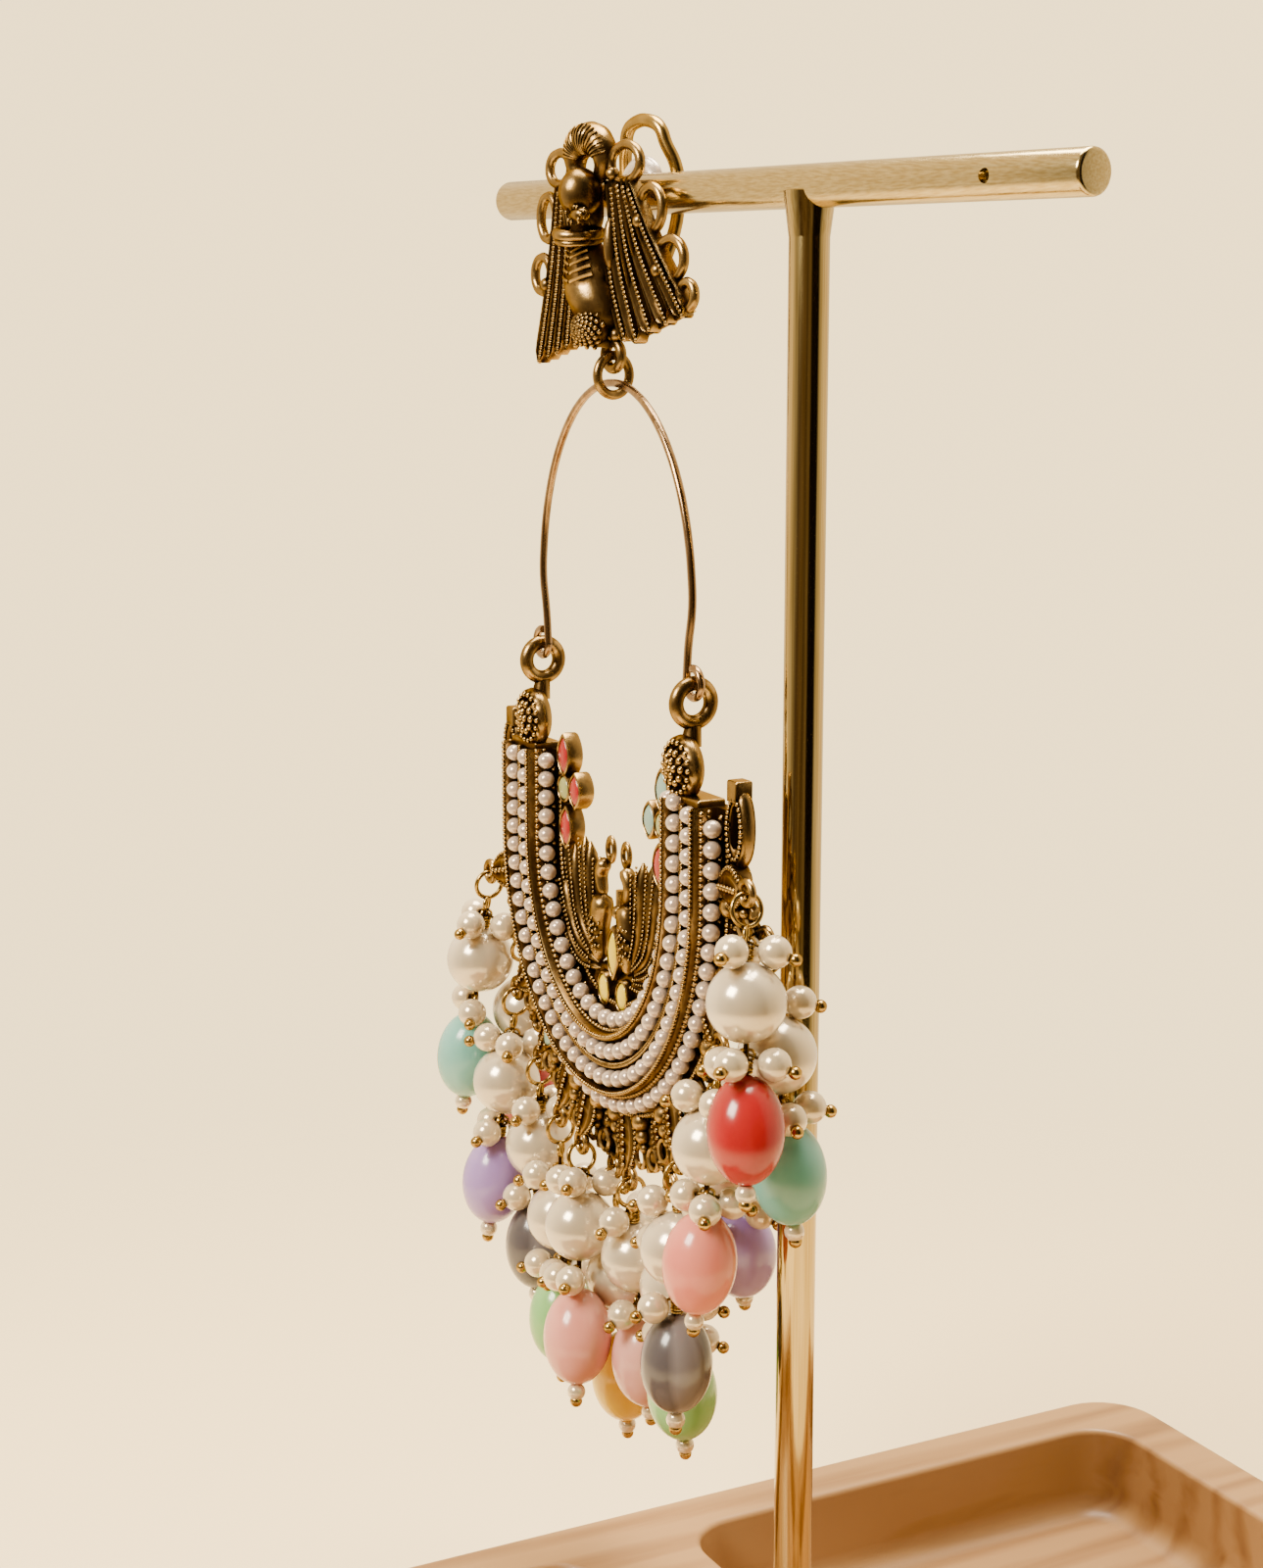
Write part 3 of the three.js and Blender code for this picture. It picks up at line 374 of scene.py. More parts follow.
def drawn_metal(name, dark, light, roughness, stretch=(300, 300, 6)):
    material, shader, add, connect = new_finish(name, Metallic=1)
    place = add("ShaderNodeTexCoord")
    lines = add("ShaderNodeMapping", in_Scale=stretch)
    noise = add("ShaderNodeTexNoise", in_Scale=6, in_Detail=3)
    ramp = colour_ramp(add, [(0.35, dark), (0.65, light)])
    rough = add("ShaderNodeMapRange", in_3=roughness - 0.03, in_4=roughness + 0.06)
    bump = add("ShaderNodeBump", in_Strength=0.04, in_Distance=0.0001)
    connect((place, "Object", lines, 0), (lines, 0, noise, "Vector"), (noise, 0, ramp, 0),
            (noise, 0, rough, 0), (noise, 0, bump, "Height"), (ramp, 0, shader, "Base Color"),
            (rough, 0, shader, "Roughness"), (bump, 0, shader, "Normal"))
    return material


def nacre(name, body, rim, roughness):
    material, shader, add, connect = new_finish(
        name, Roughness=roughness, Metallic=0.42, Subsurface_Weight=0.06, Subsurface_Scale=1,
        Subsurface_Radius=(0.0012, 0.0009, 0.0007), Coat_Weight=0.55, Coat_Roughness=0.12)
    place = add("ShaderNodeTexCoord")
    cloud = add("ShaderNodeTexNoise", in_Scale=260, in_Detail=2)
    # painted sheen: the colour turns to the lighter rim colour where the surface turns away from the view
    sheen_by_facing = add("ShaderNodeLayerWeight", in_Blend=0.35)
    tone = colour_ramp(add, [(0.3, tuple(c * 0.96 for c in body)), (0.7, body)])
    mix = add("ShaderNodeMix", data_type="RGBA", in_7=(*rim, 1))
    bump = add("ShaderNodeBump", in_Strength=0.03, in_Distance=0.0002)
    connect((place, "Object", cloud, "Vector"), (cloud, 0, tone, 0), (tone, 0, mix, 6),
            (sheen_by_facing, "Facing", mix, 0), (mix, 2, shader, "Base Color"),
            (cloud, 0, bump, "Height"), (bump, 0, shader, "Normal"))
    return material


def milky_glass(name, deep, light, glow=0.45, highlight_band=False, coat=0.15):
    material, shader, add, connect = new_finish(
        name, Roughness=0.2, Subsurface_Weight=glow, Subsurface_Scale=1,
        Subsurface_Radius=(0.003, 0.0024, 0.002), Coat_Weight=coat, Coat_Roughness=0.08)
    place = add("ShaderNodeTexCoord")
    # the cat's-eye band is a painted highlight: a wave on the bead's UV gives a lighter stripe round it
    if highlight_band:
        source = add("ShaderNodeTexWave", in_Scale=1.0, in_Distortion=2.5, in_Detail=2)
    else:
        source = add("ShaderNodeTexNoise", in_Scale=130, in_Detail=2)
    ramp = colour_ramp(add, [(0.3, deep), (0.7, light)])
    bump = add("ShaderNodeBump", in_Strength=0.02, in_Distance=0.0002)
    connect((place, "UV" if highlight_band else "Object", source, "Vector"), (source, 0, ramp, 0),
            (ramp, 0, shader, "Base Color"), (source, 0, bump, "Height"), (bump, 0, shader, "Normal"))
    return material


def grained_wood(name, dark, middle, light):
    material, shader, add, connect = new_finish(name, Roughness=0.48, Coat_Weight=0.08)
    place = add("ShaderNodeTexCoord")
    along = add("ShaderNodeMapping", in_Scale=(60, 6, 60))
    noise = add("ShaderNodeTexNoise", in_Scale=3, in_Detail=6, in_Distortion=1.2)
    rings = add("ShaderNodeTexWave", in_Scale=0.9, in_Distortion=9, in_Detail=3, wave_type="BANDS",
                bands_direction="X")
    mix = add("ShaderNodeMath", operation="MULTIPLY_ADD", in_1=0.45)
    ramp = colour_ramp(add, [(0.2, dark), (0.5, middle), (0.85, light)])
    bump = add("ShaderNodeBump", in_Strength=0.12, in_Distance=0.0002)
    connect((place, "Object", along, 0), (along, 0, noise, "Vector"), (along, 0, rings, "Vector"),
            (rings, "Fac", mix, 0), (noise, 0, mix, 2), (mix, 0, ramp, 0), (noise, 0, bump, "Height"),
            (ramp, 0, shader, "Base Color"), (bump, 0, shader, "Normal"))
    return material


# hollow, middle and edge colours; the hollow colour is mostly painted shade, with some patina
ANTIQUE = cast_metal("antique_gold", (0.004, 0.002, 0.0007), (0.115, 0.066, 0.021), (0.46, 0.31, 0.12),
                     0.24)
FINDING = cast_metal("gold_findings", (0.02, 0.009, 0.002), (0.22, 0.13, 0.032), (0.56, 0.39, 0.13),
                     0.2, 700, 0.08)
# the metal finishes that paint shade into their hollows
SHADED_IN_HOLLOWS = (ANTIQUE, FINDING)
ROSE = drawn_metal("rose_gold_wire", (0.22, 0.135, 0.065), (0.38, 0.25, 0.13), 0.18)
BRASS_POST = drawn_metal("brushed_brass_post", (0.40, 0.29, 0.10), (0.54, 0.42, 0.18), 0.11,
                         (900, 900, 12))
BRASS_BAR = drawn_metal("brushed_brass_bar", (0.42, 0.32, 0.13), (0.56, 0.46, 0.23), 0.16,
                        (12, 900, 900))
PEARL = nacre("large_pearl", (0.64, 0.54, 0.38), (0.82, 0.73, 0.57), 0.2)
SMALL_PEARL = nacre("small_pearl", (0.66, 0.54, 0.35), (0.82, 0.72, 0.54), 0.2)
SEED = nacre("seed_pearl", (0.54, 0.42, 0.33), (0.74, 0.63, 0.52), 0.2)
PAD = nacre("white_pad", (0.74, 0.65, 0.57), (0.84, 0.76, 0.68), 0.3)
WOOD = grained_wood("pale_wood", (0.15, 0.066, 0.018), (0.27, 0.135, 0.042), (0.36, 0.20, 0.075))
BEADS = {
    "red": milky_glass("coral_bead", (0.30, 0.006, 0.008), (0.39, 0.012, 0.014), 0.2),
    "teal": milky_glass("teal_bead", (0.12, 0.36, 0.32), (0.20, 0.46, 0.41)),
    "pink": milky_glass("pink_bead", (0.62, 0.17, 0.13), (0.70, 0.25, 0.19)),
    "lavender": milky_glass("lavender_bead", (0.26, 0.16, 0.44), (0.36, 0.25, 0.54)),
    # grey cat's-eye beads, with a painted highlight band
    "grey": milky_glass("cat_eye_bead", (0.075, 0.066, 0.072), (0.17, 0.15, 0.155), 0.1, True, 0.1),
    "green": milky_glass("green_bead", (0.17, 0.42, 0.12), (0.25, 0.51, 0.19)),
    "pale_pink": milky_glass("pale_pink_bead", (0.58, 0.27, 0.23), (0.66, 0.36, 0.31)),
    "yellow": milky_glass("yellow_bead", (0.78, 0.50, 0.002), (0.86, 0.60, 0.004), 0.1),
    "light_pink": milky_glass("light_pink_bead", (0.61, 0.24, 0.19), (0.68, 0.33, 0.27)),
}
ENAMEL = {colour: milky_glass(colour + "_enamel", deep, light, glow, False, 0.05)
          for colour, deep, light, glow in (
    ("red", (0.26, 0.007, 0.010), (0.34, 0.014, 0.018), 0.03),
    ("yellow", (0.62, 0.45, 0.001), (0.72, 0.54, 0.003), 0.0),
    ("pale_green", (0.22, 0.24, 0.07), (0.30, 0.31, 0.11), 0.03),
    ("pale_blue", (0.19, 0.31, 0.26), (0.27, 0.40, 0.34), 0.03),
    ("violet", (0.12, 0.11, 0.17), (0.18, 0.17, 0.24), 0.03))}
print("finishes", len(bpy.data.materials))

# %% [markdown]
# The tray is pale wood. It could be built from a floor and walls, but the real one is milled from one
# board, so a block gets round corners and edges first, the recesses are cut from it with rounded
# blocks, and the post's socket with a rod. A last small bevel softens what the cuts left sharp.

# %% Tray
TRAY = (77.4, 146, 18)
RECESSES = [(-65.5, -9), (4.2, 65.5)]
RECESS_HALF, RECESS_FLOOR = 31.2, 7
SOCKET_RADIUS, SOCKET_FLOOR = 2.25, 6
NEAR = 1e-6


def bevel_edges(thing, wanted, width, segments):
    """Rounds the edges for which wanted, given both ends, says yes."""
    bpy.ops.object.mode_set(mode="EDIT")
    bpy.ops.mesh.select_all(action="DESELECT")
    shape = bmesh.from_edit_mesh(thing.data)
    bpy.ops.mesh.select_mode(type="EDGE")
    for line in shape.edges:
        line.select_set(wanted(line.verts[0].co, line.verts[1].co))
    bmesh.update_edit_mesh(thing.data)
    bpy.ops.mesh.bevel(offset=width * MM, segments=segments, profile=0.5)
    bpy.ops.object.mode_set(mode="OBJECT")


def rounded_block(low, high, corner, edge, edges_at):
    """A block with round upright corners, and with round edges at the heights edges_at."""
    bpy.ops.object.select_all(action="DESELECT")
    bpy.ops.mesh.primitive_cube_add(size=1)
    made = bpy.context.object
    low, high = Vector(low), Vector(high)
    made.data.transform(Matrix.Translation((low + high) / 2 * MM)
                        @ Matrix.Diagonal((*((high - low) * MM), 1)))
    bevel_edges(made, lambda a, b: abs(a.z - b.z) > NEAR, corner, 8)
    bevel_edges(made, lambda a, b: any(abs(a.z - z * MM) < NEAR and abs(b.z - z * MM) < NEAR
                                       for z in edges_at), edge, 4)
    return made


def cut_out(thing, tool):
    select_only([thing])
    hollow = thing.modifiers.new("cut", "BOOLEAN")
    hollow.operation, hollow.solver, hollow.object = "DIFFERENCE", "EXACT", tool
    bpy.ops.object.modifier_apply(modifier=hollow.name)
    bpy.data.objects.remove(tool)


def soften(thing, width):
    """A small bevel on every sharp edge."""
    select_only([thing])
    rim = thing.modifiers.new("rim", "BEVEL")
    rim.width, rim.segments, rim.limit_method, rim.angle_limit = width * MM, 3, "ANGLE", math.radians(50)
    bpy.ops.object.modifier_apply(modifier=rim.name)


tray = rounded_block((-TRAY[0] / 2, -TRAY[1] / 2, 0), (TRAY[0] / 2, TRAY[1] / 2, TRAY[2]), 8, 1.5,
                     (0, TRAY[2]))
for near, far in RECESSES:
    cut_out(tray, rounded_block((-RECESS_HALF, near, RECESS_FLOOR), (RECESS_HALF, far, TRAY[2] + 9), 6, 3,
                                (RECESS_FLOOR,)))
cut_out(tray, rod(SOCKET_RADIUS, (0, 0, SOCKET_FLOOR), (0, 0, TRAY[2] + 1), 48))
soften(tray, 0.7)
finish_piece([tray], "wooden_tray", WOOD, "stand", ["tray_base"], 30)
print("tray faces", len(tray.data.polygons))

# %% [markdown]
# The stand is drawn brass rod, so a cylinder with a small bevel at each end does for bar and post. A
# small blind hole is drilled near one end of the bar, and the post flares a little where it is welded
# under the bar.

# %% Stand
BAR_RADIUS, POST_RADIUS, POST_FOOT = 2.05, 1.95, 6.3
BAR_ENDS, HOLE_ALONG, HOLE_RADIUS, HOLE_FLOOR = (-50, 36), 25, 0.65, 1.05


def round_bar(radius, start, end, edge):
    made = rod(radius, start, end, 64)
    soften(made, edge)
    return made


def bar_point(along, front=0):
    return on_bar(along - PLATE_ALONG, front, 0)


bar = round_bar(BAR_RADIUS, bar_point(BAR_ENDS[0]), bar_point(BAR_ENDS[1]), 0.4)
cut_out(bar, rod(HOLE_RADIUS, bar_point(HOLE_ALONG, 3), bar_point(HOLE_ALONG, HOLE_FLOOR), 24))
post = round_bar(POST_RADIUS, (0, 0, POST_FOOT), (0, 0, BAR_HEIGHT), 0.3)
flare = rod(POST_RADIUS + 0.01, (0, 0, BAR_HEIGHT - 4.6), (0, 0, BAR_HEIGHT - 0.4), 64, 2.5)
for thing, brass in ((bar, BRASS_BAR), (post, BRASS_POST), (flare, BRASS_POST)):
    thing.data.materials.append(brass)
finish_piece([bar, post, flare], "brass_stand", None, "stand", ["stand_t_bar"], 35)
print("stand faces", len(bar.data.polygons))

# %% [markdown]
# The ear plate is one casting of a peacock: two fans of long grooved feathers with milled ribs, a
# rounded body and head between them, a ribbed fan above and open scrolls down both sides. A bump map
# could draw the grooves, but they show on the outline, so a grooved section is swept along each
# feather, over a thin wing that fills the gaps. Places are shares of the plate's half width and fall.

# %% Ear plate: feathers and scrolls
PLATE_HALF, PLATE_FALL = 14, 17.5
FEATHERS = [  # root, bend and tip, and half of its width
    ((-0.6, 0.05), (-0.7, -0.45), (-0.87, -0.97), 0.062),
    ((-0.55, 0.06), (-0.61, -0.45), (-0.75, -0.95), 0.062),
    ((-0.49, 0.06), (-0.52, -0.45), (-0.63, -0.92), 0.062),
    ((-0.43, 0.05), (-0.43, -0.45), (-0.51, -0.89), 0.062),
    ((-0.38, 0.03), (-0.36, -0.45), (-0.4, -0.86), 0.06),
    ((0.0, -0.3), (0.08, -0.55), (0.22, -0.83), 0.06),
    ((0.05, 0.06), (0.15, -0.4), (0.36, -0.84), 0.085),
    ((0.12, 0.07), (0.26, -0.36), (0.52, -0.78), 0.085),
    ((0.18, 0.06), (0.38, -0.32), (0.71, -0.73), 0.085),
    ((0.24, 0.04), (0.5, -0.28), (0.9, -0.69), 0.075),
]
FEATHER_STEPS, FEATHER_RELIEF = 18, 0.85
FEATHER_SECTION = [(-1, -0.9), (-0.98, 0.45), (-0.84, 0.75), (-0.66, 0.4), (-0.4, -0.05), (0.4, -0.05),
                   (0.66, 0.4), (0.84, 0.75), (0.98, 0.45), (1, -0.9)]
SCROLLS = [  # middle, half width and half height, and whether a grain sits at its root
    ((-0.64, 0.16), (0.17, 0.12), False), ((-0.79, -0.12), (0.14, 0.155), False),
    ((-0.87, -0.45), (0.14, 0.13), True), ((0.17, 0.17), (0.21, 0.13), True),
    ((0.47, -0.09), (0.17, 0.15), True), ((0.7, -0.37), (0.19, 0.14), True),
    ((0.89, -0.57), (0.12, 0.1), False),
]
WINGS = [[(-0.64, 0.06), (-0.7, -0.2), (-0.78, -0.5), (-0.92, -0.93), (-0.37, -0.84), (-0.25, -0.75),
          (-0.2, -0.3), (-0.3, 0.08)],
         [(-0.12, 0.08), (0.24, 0.07), (0.42, -0.18), (0.6, -0.4), (0.93, -0.66), (0.3, -0.82),
          (0.02, -0.7), (0.0, -0.35)]]


def plate(place, front):
    return on_bar(place[0] * PLATE_HALF, PLATE_BACK + front, place[1] * PLATE_FALL)


def forward(size=1.0):
    return from_bar(0, size, 0)


cast = []
for outline in WINGS:
    cast.append(loft([[plate(p, front) for p in outline] for front in (0, PLATE_THICK / 2)]))
for root, bend, tip, half in FEATHERS:
    line = smooth_path([plate(root, 0.9), plate(bend, 0.95), plate(tip, 0.9)], FEATHER_STEPS)
    stations = []
    for i, spot in enumerate(line):
        share = i / FEATHER_STEPS
        tip_round = math.sqrt(max(0.03, 1 - max(0, (share - 0.9) / 0.1) ** 2))
        size = half * PLATE_HALF * (0.75 + 0.35 * share) * tip_round
        way = (line[min(i + 1, FEATHER_STEPS)] - line[max(i - 1, 0)]).normalized()
        across = way.cross(forward()).normalized()
        stations.append((spot, across * size, forward(FEATHER_RELIEF)))
    cast.append(swept(FEATHER_SECTION, stations))
    cast += milled(0.3, [spot + forward(0.42) for spot in line], 0.5, 0.6)
for (across, up), (half, tall), dotted in SCROLLS:
    hw, ht = half * PLATE_HALF - 0.5, tall * PLATE_FALL - 0.5
    points = [on_bar(across * PLATE_HALF + hw * math.cos(a), PLATE_BACK + 0.75,
                     up * PLATE_FALL + ht * math.sin(a)) for a in around(10)]
    cast.append(wire(points, 0.52, closed=True, sides=12))
    if dotted:
        side = math.copysign(1, across)
        cast.append(ball(0.75, plate((across - side * half * 0.6, up - tall * 0.45), 1.1), 14, 8))
print("feathers and scrolls", len(cast))

# %% [markdown]
# The bird is lofted through half ovals from its crown to its tail, because its width and its relief
# change all the way. Chevrons of fine wire give the back its herringbone, grains laid in a sunflower's
# spiral give the tail its sanded look, and the collar is two smooth rings.

# %% Ear plate: bird, fan and loop
BIRD = [  # place on the plate, half width and relief, from the crown down
    ((-0.24, 0.06), 0.08, 1.8), ((-0.27, -0.12), 0.14, 2.0), ((-0.29, -0.22), 0.12, 2.0),
    ((-0.27, -0.34), 0.16, 2.4), ((-0.2, -0.52), 0.25, 3.2), ((-0.14, -0.66), 0.23, 2.9),
    ((-0.06, -0.87), 0.06, 1.3)]
SUNFLOWER_TURN = 2.39996
TAIL_GRAINS = 80
places = smooth_path([plate(p, 0) for p, _, _ in BIRD], 24)
sizes = smooth_path([(half, relief, 0) for _, half, relief in BIRD], 24)
cast.append(swept([(math.cos(a), max(0.1, math.sin(a))) for a in around(18)],
                  [(spot + forward(0.1), from_bar(1, 0, 0) * size.x * PLATE_HALF, forward(size.y + 0.7))
                   for spot, size in zip(places, sizes)]))
for spot, size in list(zip(places, sizes))[8:16]:
    for side in (-1, 1):
        chevron = [spot + from_bar(side * size.x * PLATE_HALF * across, 0, 0.55 * up)
                   + forward((size.y + 0.7) * out + 0.1)
                   for across, up, out in ((0.04, -0.6, 1.0), (0.4, 0.1, 0.92), (0.72, 0.9, 0.69))]
        cast.append(wire(chevron, 0.2, sides=8, steps=3))
crown = plate((-0.21, 0.01), 0)
cast.append(ball(2.3, crown + forward(2.5), 28, 18, (0.9, 1, 1.1)))
for turn in range(-4, 5):
    cast.append(wire([crown + from_bar(-0.5 + turn * 0.42, 4.0 - 0.07 * turn * turn, -1.6),
                      crown + from_bar(-0.6 + turn * 0.5, 3.6 - 0.08 * turn * turn, -3.2)], 0.14,
                     sides=8, steps=2))
neck = plate((-0.285, -0.215), 1.1)
for size, lift in ((0.5, 0), (0.28, -0.75)):
    cast.append(ring(2.05, size, neck + forward(0.9) + from_bar(0, 0, lift), from_bar(0.15, 0.12, 1),
                     32, 10, (1, 1.1, 1.2)))
beak = plate((-0.12, -0.115), 0)
cast.append(ball(0.95, beak + forward(3.5), 16, 10, (1.5, 1, 0.85)))
cast += grains(0.2, [beak + forward(3.5) + from_bar(1.3 * math.cos(a), 0.75 * math.cos(a * 2.3) ** 2 + 0.1,
                                                    0.75 * math.sin(a)) for a in around(16)])
cast.append(ball(0.22, crown + forward(3.9) + from_bar(-1.0, 0, 0.5), 10, 6))
tail = plate((-0.11, -0.76), 0)
cast.append(ball(2.1, tail + forward(1.9), 18, 12, (1, 1, 0.9)))
spots = []
for i in range(TAIL_GRAINS):
    turn, share = i * SUNFLOWER_TURN, math.sqrt((i + 0.5) / TAIL_GRAINS)
    lift = 1.9 + 2.15 * math.sqrt(max(0.02, 1 - share ** 2))
    spots.append(tail + from_bar(2.2 * share * math.cos(turn), lift, 2.0 * share * math.sin(turn)))
cast += grains(0.3, spots)
FAN_WIRE = (1.2, 0.55)
fan_middle = on_bar(-0.25 * PLATE_HALF, PLATE_BACK + 0.9, 0.18 * PLATE_FALL)


def on_fan(a):
    """A point of the fan's loop at an angle, and how thick the loop is there."""
    return (fan_middle + from_bar(2.5 * math.cos(a), 0, 2.1 * math.sin(a) + 0.3),
            FAN_WIRE[0] + FAN_WIRE[1] * math.sin(a))


fan = [on_fan(a) for a in around(14)]
cast.append(wire([spot for spot, _ in fan], 1, closed=True, sides=20, shares=[thick for _, thick in fan]))
for i in range(-8, 9):
    a = math.pi / 2 + i * 0.17
    middle, thick = on_fan(a)
    out = from_bar(math.cos(a), 0, math.sin(a))
    rib = [middle + out * thick * math.sin(s) + forward(thick * math.cos(s))
           for s in (-1.0, -0.5, 0, 0.5, 1.0)]
    cast.append(wire(rib, 0.13, sides=8, steps=3))
loop_middle = on_bar(0, PLATE_BACK + PLATE_THICK / 2, -16)
cast.append(ring(1.35, 0.55, loop_middle, forward(), 36, 14))
cast += [ball(0.75, loop_middle + from_bar(x, 0.2, 2.1), 14, 8) for x in (-0.75, 0.1, 0.85)]
cast.append(ball(1.0, plate((0.04, -0.28), 1.3), 18, 10, (0.75, 0.8, 2.6)))
bracket = rounded_block((-1.5, -2.75, -1.7), (1.5, 0.6, 1.7), 0.3, 0.3, (-1.7, 1.7))
cut_out(bracket, rod(1.0, (-3, -0.9, 0), (3, -0.9, 0), 24))
bracket.data.transform(Matrix.Diagonal((MM, MM, MM, 1)) @ ON_BAR @ Matrix.Translation((-4.1, 0, -11.5))
                       @ Matrix.Diagonal((1 / MM, 1 / MM, 1 / MM, 1)))
cast.append(bracket)
finish_piece(cast, "peacock_ear_plate", ANTIQUE, "stand", ["ear_plate"], 50)
print("ear plate faces", len(cast[0].data.polygons))

# %% [markdown]
# The clip is one bent wire that turns in the bracket behind the plate and carries a white pad, which
# presses the lobe, or here the bar, against the plate. The wire is equally thick all the way, so a
# path with a round section makes it, and the pad is a loft through circles, for its domed face.

# %% Clip
PAD_ALONG, PAD_RADIUS, PAD_THICK, PAD_RISE = -4.1, 3.4, 1.9, 0.8
HINGE_FALL, HINGE_FRONT = 11.5, 0.9
LEG_HALF, LEVER_TOP = PAD_RADIUS + 0.3 + 0.7, 7.3
CROSS_BACK = BAR_RADIUS + 0.3 + PAD_THICK + 0.3 + 0.7


def clip_point(side, back, up):
    return on_bar(PAD_ALONG + LEG_HALF * side, -back, up)


one_leg = [(0.45, -HINGE_FRONT, -HINGE_FALL), (0.8, -HINGE_FRONT, -HINGE_FALL),
           (0.98, -HINGE_FRONT + 0.9, -HINGE_FALL + 0.8), (1, CROSS_BACK * 0.62, -HINGE_FALL * 0.58),
           (1, CROSS_BACK, PAD_RISE - 1), (0.98, CROSS_BACK - 0.4, LEVER_TOP * 0.42),
           (0.78, CROSS_BACK - 1, LEVER_TOP * 0.72), (0.62, CROSS_BACK - 1.2, LEVER_TOP * 0.93)]
top = [(0.28, CROSS_BACK - 1.3, LEVER_TOP + 0.25), (-0.28, CROSS_BACK - 1.3, LEVER_TOP + 0.25)]
round_trip = ([(-0.3, -HINGE_FRONT, -HINGE_FALL), (0.3, -HINGE_FRONT, -HINGE_FALL)] + one_leg + top
              + [(-s, b, u) for s, b, u in reversed(one_leg)])
clip = [wire([clip_point(*p) for p in round_trip], 0.7, closed=True, sides=16),
        rod(0.6, clip_point(-1, CROSS_BACK, PAD_RISE), clip_point(1, CROSS_BACK, PAD_RISE), 16)]
finish_piece(clip, "clip_wire", FINDING, "clip", ["clip_loop"])
pad_rings = [[on_bar(PAD_ALONG + wide * PAD_RADIUS * math.cos(a), -(PLATE_BACK + back * PAD_THICK),
                     PAD_RISE + wide * PAD_RADIUS * math.sin(a)) for a in around(48)]
             for wide, back in ((0.12, 0.0), (0.55, 0.12), (0.74, 0.26), (0.86, 0.42), (0.96, 0.62),
                                (1, 0.8), (0.99, 0.95), (0.9, 1.0), (0.1, 1.0))]
finish_piece([loft(pad_rings)], "clip_cushion", PAD, "clip", ["clip_pad"], 60)
print("wire runs through", len(round_trip), "points")

# %% [markdown]
# A thick ring joins the plate to the arch, and the arch is one drawn wire whose ends are curled into
# eyes round the horn rings. The arch and each eye are paths of their own that meet where they touch,
# because one path through so tight a curl would need many more points.

# %% Ring and arch
HORN_HEIGHT, CRESCENT_HALF = 118.6, 17.15
RING_HEIGHT, ARCH_TOP, HORN_TOP = 150, 149.225, 120.55
ARCH_HALF, ARCH_FALL, ARCH_WIRE = 16.8, 21.2, 0.425
EYE = 0.75 + 0.28 + ARCH_WIRE
finish_piece([ring(2, 0.5, (HANG.x, HANG.y, RING_HEIGHT), from_bar(1, 0, 0), 48, 16)], "joining_ring",
             ANTIQUE, "ring", ["connector_ring"])
leg = CRESCENT_HALF - EYE
bow = [(ARCH_HALF * math.cos(math.radians(d)), HANG.y,
        ARCH_TOP - ARCH_FALL * (1 - math.sin(math.radians(d)))) for d in range(0, 181, 9)]
bow = [(leg, HANG.y, HORN_TOP), (leg + 0.35, HANG.y, HORN_TOP + 3.5)] + bow
bow += [(-leg - 0.35, HANG.y, HORN_TOP + 3.5), (-leg, HANG.y, HORN_TOP)]
arch = [wire([in_crescent(*p) for p in bow], ARCH_WIRE, sides=16, steps=4)]
for side in (-1, 1):
    curl = [in_crescent(side * (CRESCENT_HALF + EYE * math.cos(math.radians(d))), HANG.y,
                        HORN_TOP + EYE * math.sin(math.radians(d))) for d in range(180, 461, 20)]
    arch.append(wire(curl, ARCH_WIRE, sides=16, steps=4))
finish_piece(arch, "arch_of_wire", ROSE, "arch", ["arch_wire"], 60)
print("eyes", round(2 * leg, 1), "mm apart")

# %% [markdown]
# The crescent's band is one section carried round a U: flanges, three raised ridges and the channels
# between them. A curve with a bevel object could sweep it. Here each corner of the section is carried
# round by its own offset, because the milled cords on the ridges and the rows of seed pearls, which
# are glued in the channels, then follow the same line.

# %% Crescent band and seed pearls
BAND_TOP, TURN_HEIGHT, BAND_FALL, BAND_BACK = 109, 99.5, 20.3, -5.5
BAND_INNER, BAND_OUTER, WALL_IN, CORD_IN, CORD_OUT, RIM_IN, RIM_OUT = -4.9, 7.45, -1.9, 1.3, 1.8, 4.2, 4.75
FLANGE, FLOOR, CORD_TOP, RIDGE_SIDE, RIDGE_TOP = 1.5, 2.5, 3.7, 4.1, 4.3
SEED_RADIUS, SEED_PITCH, BAND_STEPS = 0.93, 2.08, 56
ROWS = {"pearl_row_inner": (-3.1, 2.7), "pearl_row_face_1": (0.1, 3.7),
        "pearl_row_face_2": (3.0, 3.7), "pearl_row_outer": (5.95, 2.7)}
CORDS = [(WALL_IN + 0.4, 4.36, 0.24), (CORD_IN + 0.12, 3.78, 0.19), (CORD_OUT - 0.12, 3.78, 0.19),
         ((RIM_IN + RIM_OUT) / 2, 4.36, 0.25), (BAND_INNER + 0.3, 1.6, 0.28), (BAND_OUTER - 0.3, 1.6, 0.28),
         (RIM_OUT + 0.1, 3.35, 0.34), (WALL_IN - 0.1, 3.35, 0.34), (RIM_OUT + 0.05, 2.45, 0.26),
         (WALL_IN - 0.05, 2.45, 0.26)]


def on_band(x, front, z):
    """A point so far in front of the band's back."""
    return in_crescent(x, BAND_BACK - front, z)


def band_line(offset, front):
    """The U at an offset from its middle line, outwards being positive."""
    line = [(-CRESCENT_HALF, BAND_TOP, -1, 0)]
    for i in range(BAND_STEPS + 1):
        a = math.radians(-90 + 180 * i / BAND_STEPS)
        out = Vector((BAND_FALL * math.sin(a), -CRESCENT_HALF * math.cos(a))).normalized()
        line.append((CRESCENT_HALF * math.sin(a), TURN_HEIGHT - BAND_FALL * math.cos(a), out.x, out.y))
    line.append((CRESCENT_HALF, BAND_TOP, 1, 0))
    return [on_band(x + ox * offset, front, z + oz * offset) for x, z, ox, oz in line]


